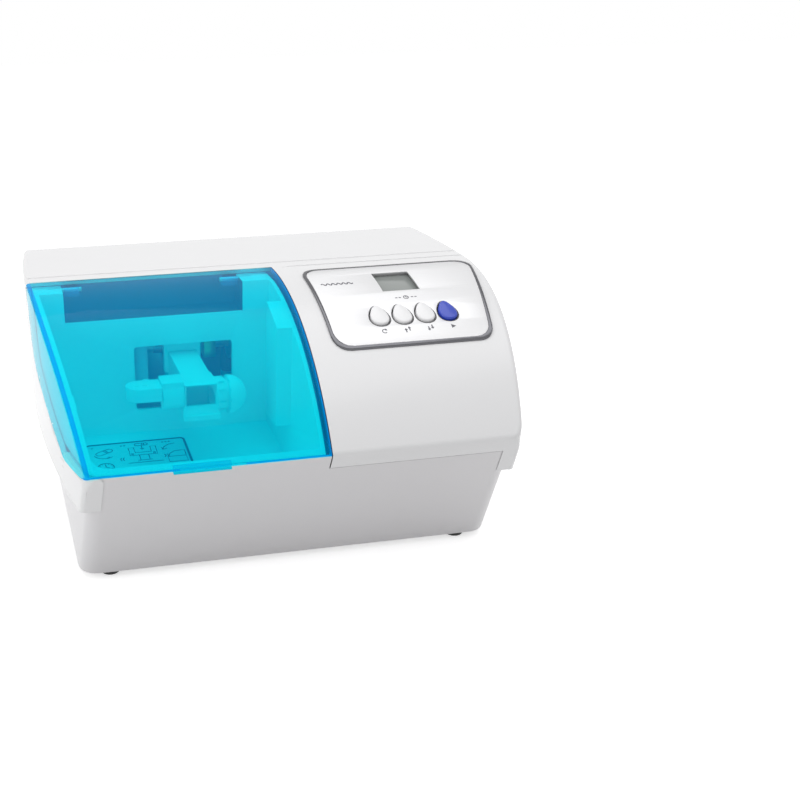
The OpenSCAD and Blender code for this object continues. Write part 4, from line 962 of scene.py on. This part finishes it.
def key_cap(node_name, x, material):
    """Egg-shaped cap with a rounded edge and a crowned top, on the flange that keeps it in."""
    edge_r, crown, half = KEY_EDGE_R, KEY_CROWN, KEY_W / 2 - KEY_EDGE_R
    rings = [(0.0, KEY_FLANGE_Z - 0.6), (0.0, KEY_RISE - edge_r - crown)]
    for i in range(1, 7):
        t = math.pi / 2 * i / 6
        rings.append((edge_r * (1 - math.cos(t)), KEY_RISE - crown - edge_r * (1 - math.sin(t))))
    rings += [(edge_r + d, KEY_RISE - crown + crown * (1 - ((half - d) / half) ** 2)) for d in (0.8, 1.7, 2.6, 3.3)]
    verts = []
    for inset, z in rings:
        verts += [(px, py, z) for px, py in egg(KEY_W - 2 * inset, KEY_L - 2 * inset)]
    n = KEY_POINTS
    faces = ring_faces(len(rings), n)
    top = (len(rings) - 1) * n
    verts.append((0, -0.3, KEY_RISE))
    faces += [(top + k, top + (k + 1) % n, len(verts) - 1) for k in range(n)]
    faces.append(tuple(reversed(range(n))))
    spot = on_hood(x, KEY_ANGLE)
    cap = add_mesh(node_name + "_shown", [spot @ Vector(v) for v in verts], faces)
    w, l = KEY_PITCH - 0.7, KEY_L + 3
    flange = slab(node_name + "_flange", w, l, KEY_FLANGE_Z - 1, KEY_FLANGE_Z, spot)
    combine(cap, flange, "UNION")
    return finish_piece(cap, material, nodes=(node_name,), angle=40)


def slab(name, w, l, z0, z1, spot):
    corners = [(-w / 2, -l / 2), (w / 2, -l / 2), (w / 2, l / 2), (-w / 2, l / 2)]
    verts = [spot @ Vector((x, y, z)) for z in (z0, z1) for x, y in corners]
    faces = [(3, 2, 1, 0), (4, 5, 6, 7)] + [(k, (k + 1) % 4, (k + 1) % 4 + 4, k + 4) for k in range(4)]
    return add_mesh(name, verts, faces)


for node_name, key_at in zip(("key_recall", "key_up", "key_down", "key_start"), KEY_XS):
    key_cap(node_name, key_at, FINISH["key_blue" if node_name == "key_start" else "key_white"])


def hood_point(x, angle, u, v, lift):
    """A point printed on the hood: u across and v up the slope, from a place at x and angle."""
    a = math.radians(angle) - v / HOOD_R
    r = HOOD_R + lift
    return place(x + u, HOOD_Y - r * math.sin(a), HOOD_CZ + r * math.cos(a))


def printed(name, shapes, to_point, low, high, material, body="housing"):
    """Thin ink shapes: each shape is a list of loops, the outer one first, then its holes."""
    verts, faces = [], []
    for loops in shapes:
        flat = [[Vector((u, v, 0)) for u, v in loop] for loop in loops]
        points = [uv for loop in loops for uv in loop]
        base, n = len(verts), len(points)
        verts += [to_point(u, v, low) for u, v in points] + [to_point(u, v, high) for u, v in points]
        for a, b, c in tessellate_polygon(flat):
            faces += [(base + a, base + b, base + c), (base + n + a, base + n + c, base + n + b)]
        start = 0
        for loop in loops:
            m = len(loop)
            for k in range(m):
                i, j = base + start + k, base + start + (k + 1) % m
                faces.append((i, j, j + n, i + n))
            start += m
    obj = add_mesh(name, verts, faces)
    face_outwards(obj)
    return finish_piece(obj, material, body=body)


def circle(r, count=28, at=(0, 0), start=0.0, sweep=2 * math.pi):
    closed = sweep >= 2 * math.pi
    steps = count if closed else count - 1
    return [(at[0] + r * math.cos(start + sweep * i / steps), at[1] + r * math.sin(start + sweep * i / steps))
            for i in range(count)]


def ring(r, width, at=(0, 0), count=28):
    return [circle(r, count, at), circle(r - width, count, at)[::-1]]


def stroke(points, width, closed=False):
    """The outline of a line of constant width through the points."""
    left, right = [], []
    n = len(points)
    for i, (x, y) in enumerate(points):
        before = points[i - 1] if i or closed else points[0]
        after = points[(i + 1) % n] if i < n - 1 or closed else points[-1]
        dx, dy = after[0] - before[0], after[1] - before[1]
        d = math.hypot(dx, dy) or 1
        nx, ny = -dy / d * width / 2, dx / d * width / 2
        left.append((x + nx, y + ny))
        right.append((x - nx, y - ny))
    return [left, right[::-1]] if closed else [left + right[::-1]]


def moved(shapes, dx, dy):
    return [[[(x + dx, y + dy) for x, y in loop] for loop in shape] for shape in shapes]


def box_shape(x0, y0, x1, y1):
    return [[(x0, y0), (x1, y0), (x1, y1), (x0, y1)]]


def arrow(length, width, head):
    return [[(-width / 2, -length / 2), (width / 2, -length / 2), (width / 2, length / 2 - head),
             (head * 0.7, length / 2 - head), (0, length / 2), (-head * 0.7, length / 2 - head),
             (-width / 2, length / 2 - head)]]


def on_panel(u, v, lift):
    return hood_point(KEY_X, KEY_ANGLE, u, v, lift)


INK_LOW, INK_HIGH = OVERLAY_T - 0.03, OVERLAY_T + 0.05
OUTLINE_OUT, OUTLINE_IN = 1.9, 1.04
LEGEND_V = -KEY_L / 2 - 4.2
CLOCK_U, CLOCK_V = 0.6, 13.4


def panel_marks():
    at = [x - KEY_X for x in KEY_XS]
    rings = []
    for u in at:
        outer, inner = ([(px + u, py) for px, py in egg(KEY_W + wider, KEY_L + wider)]
                        for wider in (OUTLINE_OUT, OUTLINE_IN))
        rings.append([outer, inner[::-1]])
    printed("key_outlines", rings, on_panel, INK_LOW, INK_HIGH, FINISH["print_black"])
    # Under the keys: a return arrow, two arrows up, two arrows down and a start triangle
    marks = moved([stroke(circle(1.25, 16, start=0.9, sweep=4.6), 0.5),
                   [[(0.1, 0.5), (1.5, 0.3), (0.9, 1.7)]]], at[0], LEGEND_V)
    up = arrow(2.9, 0.6, 1.3)[0]
    for k, turn in ((1, 1), (2, -1)):
        for du in (-1.0, 1.0):
            marks += moved([[[(x, y * turn) for x, y in up]]], at[k] + du, LEGEND_V + du * 0.5)
    marks += moved([[[(-1.0, -1.35), (1.35, 0), (-1.0, 1.35)]]], at[3], LEGEND_V)
    # A clock with bars on both sides under the display, and a wave sign at the panel's upper left
    clock = [ring(1.5, 0.45), box_shape(-0.2, 0, 0.2, 1.0), box_shape(0, -0.2, 0.85, 0.2)]
    marks += moved(clock, CLOCK_U, CLOCK_V)
    for side in (-1, 1):
        for k in range(2):
            u = CLOCK_U + side * (3.4 + k * 1.9)
            marks.append(box_shape(u - 0.6, CLOCK_V - 0.3, u + 0.6, CLOCK_V + 0.3))
    marks.append(stroke([(-40.5 + 0.36 * i, 31.0 + 0.9 * math.sin(i * math.pi / 4)) for i in range(49)], 0.75))
    printed("panel_marks", marks, on_panel, INK_LOW, INK_HIGH, FINISH["print_grey"])


panel_marks()

# ---- instruction plate: generic pictogram in a black frame

PLATE_LEFT, PLATE_L, PLATE_BACK = -101.5, 38.0, -6.0
FLOOR_BACK, FLOOR_BACK_Z, FLOOR_FRONT_Z, LINER_T = 5.0, 48.0, 42.0, 2.2
FLOOR_FRONT = front_y(FLOOR_FRONT_Z) + TUB_WALL * 1.2 + FIT + LINER_T * 1.1
FLOOR_TILT = math.atan((FLOOR_BACK_Z - FLOOR_FRONT_Z) / (FLOOR_BACK - FLOOR_FRONT))


def plate_point(u, v, lift):
    """A point on the plate: u from its left, v from its front edge, lift above the chamber floor."""
    y = PLATE_BACK - (PLATE_L - v) * math.cos(FLOOR_TILT) - math.sin(FLOOR_TILT) * lift
    z = FLOOR_BACK_Z - (FLOOR_BACK - PLATE_BACK) * math.tan(FLOOR_TILT) - (PLATE_L - v) * math.sin(FLOOR_TILT)
    return place(PLATE_LEFT + u, y, z + lift * math.cos(FLOOR_TILT))


def rounded_loop(x0, y0, x1, y1, r):
    count, out = 6, []
    for cx, cy, a in ((x1 - r, y1 - r, 0), (x0 + r, y1 - r, 90), (x0 + r, y0 + r, 180), (x1 - r, y0 + r, 270)):
        turns = [math.radians(a + 90 * i / count) for i in range(count + 1)]
        out += [(cx + r * math.cos(t), cy + r * math.sin(t)) for t in turns]
    return out


def pictogram():
    """Three steps: a capsule, the open jaws that take it, and the closed lid."""
    w = 0.55
    shapes = [[rounded_loop(0.5, 0.5, 56.5, 37.5, 2.8), rounded_loop(1.8, 1.8, 55.2, 36.2, 1.8)[::-1]]]

    def line(points, closed=False, width=w):
        shapes.append(stroke(points, width, closed))

    def capsule(x, y, l, r, tilt=0.0):
        c, s = math.cos(tilt), math.sin(tilt)

        def turn(u, v):
            return x + u * c - v * s, y + u * s + v * c

        body = []
        for end, start in ((l / 2, -90), (-l / 2, 90)):
            sweep = [math.radians(start + 180 * i / 8) for i in range(9)]
            body += [turn(end + r * math.cos(a), r * math.sin(a)) for a in sweep]
        line(body, closed=True)
        line([turn(0.6, -r + 0.2), turn(0.6, r - 0.2)])
        line([turn(1.6, -r + 0.2), turn(1.6, r - 0.2)])

    # Jaws seen from above, with the capsule going in
    line([(24, 21), (24, 30), (27, 30), (27, 24), (36, 24), (36, 30), (39, 30), (39, 21)], closed=True)
    line([(29, 21), (29, 15), (34, 15), (34, 21)])
    line([(27.6, 15), (35.4, 15), (35.4, 12.6), (27.6, 12.6)], closed=True)
    line([(22, 12.6), (41, 12.6)])
    for x in (25.5, 37.5):
        shapes.append(ring(0.8, w, (x, 22.6), 16))
    capsule(31.5, 33.2, 4.6, 1.3)
    line([(31.5, 31.4), (31.5, 27.4)])
    line([(30.5, 28.5), (31.5, 27.2), (32.5, 28.5)])
    # A loose capsule and its turn
    capsule(10.5, 27.5, 6.4, 1.9, 0.5)
    line([(10.5 + 6.2 * math.cos(a), 26.5 + 6.2 * math.sin(a)) for a in
          [math.radians(200 + 110 * i / 10) for i in range(11)]])
    line([(11.6, 21.3), (12.9, 20.9), (12.5, 22.3)])
    # Lid closing over the body, seen from the side
    line([(44, 10), (44, 16), (54, 16), (54, 10)], closed=True)
    line([(44.5, 16.6), (45.6, 19.6), (48.2, 21.8), (51.5, 22.3), (54, 22.3), (54, 16.6)])
    line([(42.6, 25), (43.6, 28), (46.4, 30.4), (50, 31.2)])
    line([(42.2, 27.4), (42.5, 24.6), (44.9, 26)])
    # Shaking lines beside the jaws
    for x, side in ((20.4, -1), (42.4, 1)):
        for k in range(2):
            line([(x + side * k * 1.4, 19.4), (x + side * (k * 1.4 + 0.7), 17.6), (x + side * k * 1.4, 15.8)])
    # Step dots 1, 2 and 3
    for count, (x, y) in enumerate(((4.4, 33.2), (20.4, 33.2), (43.6, 33.6)), 1):
        for k in range(count):
            shapes.append([circle(0.6, 12, (x + k * 1.8, y))])
    # A timer dial at the lower left
    shapes.append(ring(4.6, w, (9.6, 10.6), 32))
    for k in range(12):
        a = math.radians(30 * k)
        line([(9.6 + r * math.cos(a), 10.6 + r * math.sin(a)) for r in (3.1, 4.0)], width=0.45)
    line([(9.6, 10.6), (9.6, 13.4)])
    line([(9.6, 10.6), (11.6, 9.6)])
    printed("pictogram", shapes, plate_point, 0.36, 0.47, FINISH["print_black"])


pictogram()

# ---- plain dressed parts, each with the rounding of its edges

shown = {}
for name, edge in (
    ("base_plate", 0.3), ("chamber_liner", 0.5), ("hinge_pins", 0.15), ("arm_housing", 0.5),
    ("fixed_jaw", 0.3), ("sliding_jaw", 0.4), ("guide_bracket", 0.15), ("control_overlay", 0.12),
    ("overlay_border", 0.35), ("fuse_holders", 0.3), ("fuse_cap_left", 0.25), ("fuse_cap_right", 0.25),
    ("switch_housing", 0.4), ("switch_rocker", 0.3), ("selector_body", 0.2), ("selector_slider", 0.15),
    ("selector_screws", 0.1), ("strain_relief", 0.4), ("rubber_feet", 0.4), ("foot_screws", 0.15),
    ("housing_screws", 0.2), ("plug_body", 0.9), ("plug_pins", 0.6), ("hank_tie", 0.3), ("instruction_plate", 0.08),
    ("crank_sleeve", 0.1), ("balance_weight", 0.3), ("motor_end_bells", 0.3), ("motor_stator", 0.2),
    ("chassis_plate", 0.2), ("transformer", 0.3), ("arm_bearing", 0.2), ("motor_shaft", 0.3), ("cooling_fan", 0.1),
    ("display_window", 0.1), ("display_module", 0.1), ("rubber_mounts", 0.2), ("lid_switch", 0.2),
):
    shown[name] = dress(name, edge)

ARM_X, ARM_FRONT, ARM_HALF = -42.0, -46.0, 8.5
YOKE_DEPTH_Y, YOKE_LIP_BACK, YOKE_LIP_FRONT = -37.5, -43.8, -48.4
LEVER_THIN, LEVER_RISE = 0.74, 0.8


def mixing_arm():
    """The bar and its yoke: a mouth that widens to the front, over a sloping lip."""
    bar = merged_copy("arm_bar")
    flare = []
    for y, half, low, high in ((YOKE_DEPTH_Y, 6, 77.4, 89.8), (ARM_FRONT - 0.8, 8.2, 76.9, 92.5)):
        flare.append([place(ARM_X + x, y, z) for x, z in ((-half, low), (half, low), (half, high), (-half, high))])
    combine(bar, solid_between("yoke_flare", *flare), "DIFFERENCE")
    lip = prism_x("yoke_lip", [(YOKE_LIP_BACK, 74.3), (YOKE_LIP_FRONT, 74.3), (YOKE_LIP_FRONT, 75.0), (-45.0, 81.3),
                               (-44.3, 81.3)], ARM_X - ARM_HALF - 1, ARM_X + ARM_HALF + 1)
    combine(bar, lip, "UNION")
    soften(bar, 0.35)
    return finish_piece(bar, FINISH["arm_white"], nodes=("arm_bar",))


def thin_lever():
    """The finger lever of the sliding jaw, thinner than its boss."""
    lever = merged_copy("jaw_lever")
    heights = [v.co.z for v in lever.data.vertices]
    middle = (min(heights) + max(heights)) / 2
    for v in lever.data.vertices:
        v.co.z = middle + (v.co.z - middle) * LEVER_THIN + LEVER_RISE * MM
    soften(lever, 0.5)
    return finish_piece(lever, finish_of("jaw_lever"), nodes=("jaw_lever",))


def ring_row_tree(count, start, step, points_round):
    """Geometry Nodes that repeat a round ring in a row, each a little smaller than the last."""
    tree = bpy.data.node_groups.new("ring_row", "GeometryNodeTree")
    face = tree.interface
    face.new_socket("Geometry", in_out="OUTPUT", socket_type="NodeSocketGeometry")
    for label, kind, value in (("Count", "NodeSocketInt", count), ("Start", "NodeSocketFloat", start),
                               ("Step", "NodeSocketFloat", step), ("Shrink", "NodeSocketFloat", 0.0),
                               ("Reach", "NodeSocketFloat", 1.0), ("Thickness", "NodeSocketFloat", 1.0),
                               ("Finish", "NodeSocketMaterial", None)):
        socket = face.new_socket(label, in_out="INPUT", socket_type=kind)
        if value is not None:
            socket.default_value = value
    link = tree.links.new
    start_node = tree.nodes.new("NodeGroupInput")
    ends = tree.nodes.new("NodeGroupOutput")

    def add(kind, **settings):
        made = tree.nodes.new(kind)
        for key, value in settings.items():
            setattr(made, key, value)
        return made

    line = add("GeometryNodeMeshLine", mode="OFFSET")
    link(start_node.outputs["Count"], line.inputs["Count"])
    first, gap = add("ShaderNodeCombineXYZ"), add("ShaderNodeCombineXYZ")
    link(start_node.outputs["Start"], first.inputs["Z"])
    link(start_node.outputs["Step"], gap.inputs["Z"])
    link(first.outputs[0], line.inputs["Start Location"])
    link(gap.outputs[0], line.inputs["Offset"])
    hoop, profile = add("GeometryNodeCurvePrimitiveCircle"), add("GeometryNodeCurvePrimitiveCircle")
    hoop.inputs["Resolution"].default_value = points_round
    profile.inputs["Resolution"].default_value = 8
    link(start_node.outputs["Reach"], hoop.inputs["Radius"])
    link(start_node.outputs["Thickness"], profile.inputs["Radius"])
    ring_mesh = add("GeometryNodeCurveToMesh")
    link(hoop.outputs["Curve"], ring_mesh.inputs["Curve"])
    link(profile.outputs["Curve"], ring_mesh.inputs["Profile Curve"])
    order = add("GeometryNodeInputIndex")
    less = add("ShaderNodeMath", operation="MULTIPLY")
    link(order.outputs[0], less.inputs[0])
    link(start_node.outputs["Shrink"], less.inputs[1])
    size = add("ShaderNodeMath", operation="SUBTRACT")
    size.inputs[0].default_value = 1.0
    link(less.outputs[0], size.inputs[1])
    copies = add("GeometryNodeInstanceOnPoints")
    link(line.outputs["Mesh"], copies.inputs["Points"])
    link(ring_mesh.outputs["Mesh"], copies.inputs["Instance"])
    link(size.outputs[0], copies.inputs["Scale"])
    real, soft = add("GeometryNodeRealizeInstances"), add("GeometryNodeSetShadeSmooth")
    painted = add("GeometryNodeSetMaterial")
    link(copies.outputs[0], real.inputs[0])
    link(real.outputs[0], soft.inputs[0])
    link(soft.outputs[0], painted.inputs["Geometry"])
    link(start_node.outputs["Finish"], painted.inputs["Material"])
    link(painted.outputs[0], ends.inputs[0])
    return tree


def repeated(name, tree, at, material, body, **values):
    """The tree's result as a plain mesh of one body, set at its place."""
    obj = bpy.data.objects.new(name, bpy.data.meshes.new(name))
    bpy.context.collection.objects.link(obj)
    mod = obj.modifiers.new("repeat", "NODES")
    mod.node_group = tree
    keys = {item.name: item.identifier for item in tree.interface.items_tree if item.in_out == "INPUT"}
    for label, value in {**values, "Finish": material}.items():
        mod[keys[label]] = value
    apply_modifiers(obj)
    obj.data.transform(at)
    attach(obj, body)
    return obj


REAR_Z, SWITCH_X, ROCKER_TILT = 13.5, 16.0, 7.0
ROCKER_SIDE, ROCKER_LIFT = 3.9, 2.6
repeated("relief_ribs", ring_row_tree(6, 4.0, 2.4, 40), on_back(LEAD_X, LEAD_Z), FINISH["rubber_black"], "housing",
         Count=7, Start=4.4, Step=2.3, Shrink=0.045, Reach=5.35, Thickness=0.62)


def rocker_marks():
    """The plain signs for on and off, one at each end of the rocker."""
    for k, shape in enumerate((box_shape(-0.25, -1.5, 0.25, 1.5), ring(1.5, 0.45))):
        face = on_back(SWITCH_X, REAR_Z + 0.5) @ Matrix.Rotation(math.radians(2 * ROCKER_TILT * k), 4, "Y")
        side = -ROCKER_SIDE if k else ROCKER_SIDE

        def to_point(u, v, lift):
            return face @ Vector((side + u, v, ROCKER_LIFT + lift))

        printed(f"rocker_mark_{k}", [shape], to_point, 0.0, 0.06, FINISH["label_white"], body="rocker")


rocker_marks()
mixing_arm()
thin_lever()

# The slot for the lid's hinge, behind the chamber's back wall, lies in shade: its faces are painted near-black as
# that shade
SLOT_FRONT, SLOT_FOOT, SLOT_LEFT, SLOT_RIGHT = 5.3, 113, -107, -8


def shade_slot(liner):
    liner.data.materials.append(FINISH["slot_shade_grey"])
    for face in liner.data.polygons:
        x, y, z = (v / MM for v in face.center)
        if y + FRAME_Y > SLOT_FRONT and z > SLOT_FOOT and SLOT_LEFT < x < SLOT_RIGHT:
            face.material_index = len(liner.data.materials) - 1


shade_slot(shown["chamber_liner"])

# ---- cord

mains_cord.data.materials.append(FINISH["cord_black"])
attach(mains_cord, "housing")
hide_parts("cord_run", "cord_hank")

# ---- table, backdrop and lamps


FLOOR_HALF, FLOOR_GLOW, WORLD_LIGHT = 3.0, 0.6, 0.55


def stage_material():
    """White floor that keeps the shadow and meets the white background."""
    mat = bpy.data.materials.new("table_white")
    mat.use_nodes = True
    tree = mat.node_tree
    bsdf = tree.nodes["Principled BSDF"]
    bsdf.inputs["Base Color"].default_value = (0.8, 0.8, 0.8, 1)
    bsdf.inputs["Roughness"].default_value = 0.9
    bsdf.inputs["Specular IOR Level"].default_value = 0.0
    glow = node(tree, "ShaderNodeEmission", 0, -300)
    add = node(tree, "ShaderNodeAddShader", 300, 0)
    level = maths(tree, "MULTIPLY", seen_directly(tree, -600, -300), FLOOR_GLOW, -100, -300)
    tree.links.new(level, glow.inputs["Strength"])
    tree.links.new(bsdf.outputs[0], add.inputs[0])
    tree.links.new(glow.outputs[0], add.inputs[1])
    tree.links.new(add.outputs[0], tree.nodes["Material Output"].inputs["Surface"])
    return mat


def make_stage():
    corners = [(x * FLOOR_HALF, y * FLOOR_HALF, 0) for x, y in ((-1, -1), (1, -1), (1, 1), (-1, 1))]
    floor = add_mesh("table", corners, [(0, 1, 2, 3)])
    floor.data.materials.append(stage_material())


def make_world():
    """White where it is seen, and a lower even light on the object."""
    world = bpy.data.worlds.new("studio")
    bpy.context.scene.world = world
    world.use_nodes = True
    tree = world.node_tree
    back = tree.nodes["Background"]
    back.inputs["Color"].default_value = (1, 1, 1, 1)
    level = node(tree, "ShaderNodeMapRange", -250, 0)
    level.inputs["To Min"].default_value = WORLD_LIGHT
    level.inputs["To Max"].default_value = 1.0
    tree.links.new(seen_directly(tree, -800, 0), level.inputs["Value"])
    tree.links.new(level.outputs["Result"], back.inputs["Strength"])


def area_lamp(name, spot, aim, size, power):
    data = bpy.data.lights.new(name, "AREA")
    data.shape = "RECTANGLE"
    data.size, data.size_y = size
    data.energy = power
    lamp = bpy.data.objects.new(name, data)
    lamp.location = spot
    lamp.rotation_euler = (Vector(aim) - Vector(spot)).to_track_quat("-Z", "Y").to_euler()
    bpy.context.scene.collection.objects.link(lamp)


make_stage()
make_world()
area_lamp("softbox_top", (0.1, 0.1, 1.3), (0, 0, 0.08), (1.4, 1.2), 8)
area_lamp("softbox_left", (-1.2, -0.5, 0.7), (0, 0, 0.07), (0.9, 0.9), 4.2)

bpy.context.scene.view_settings.view_transform = "Standard"
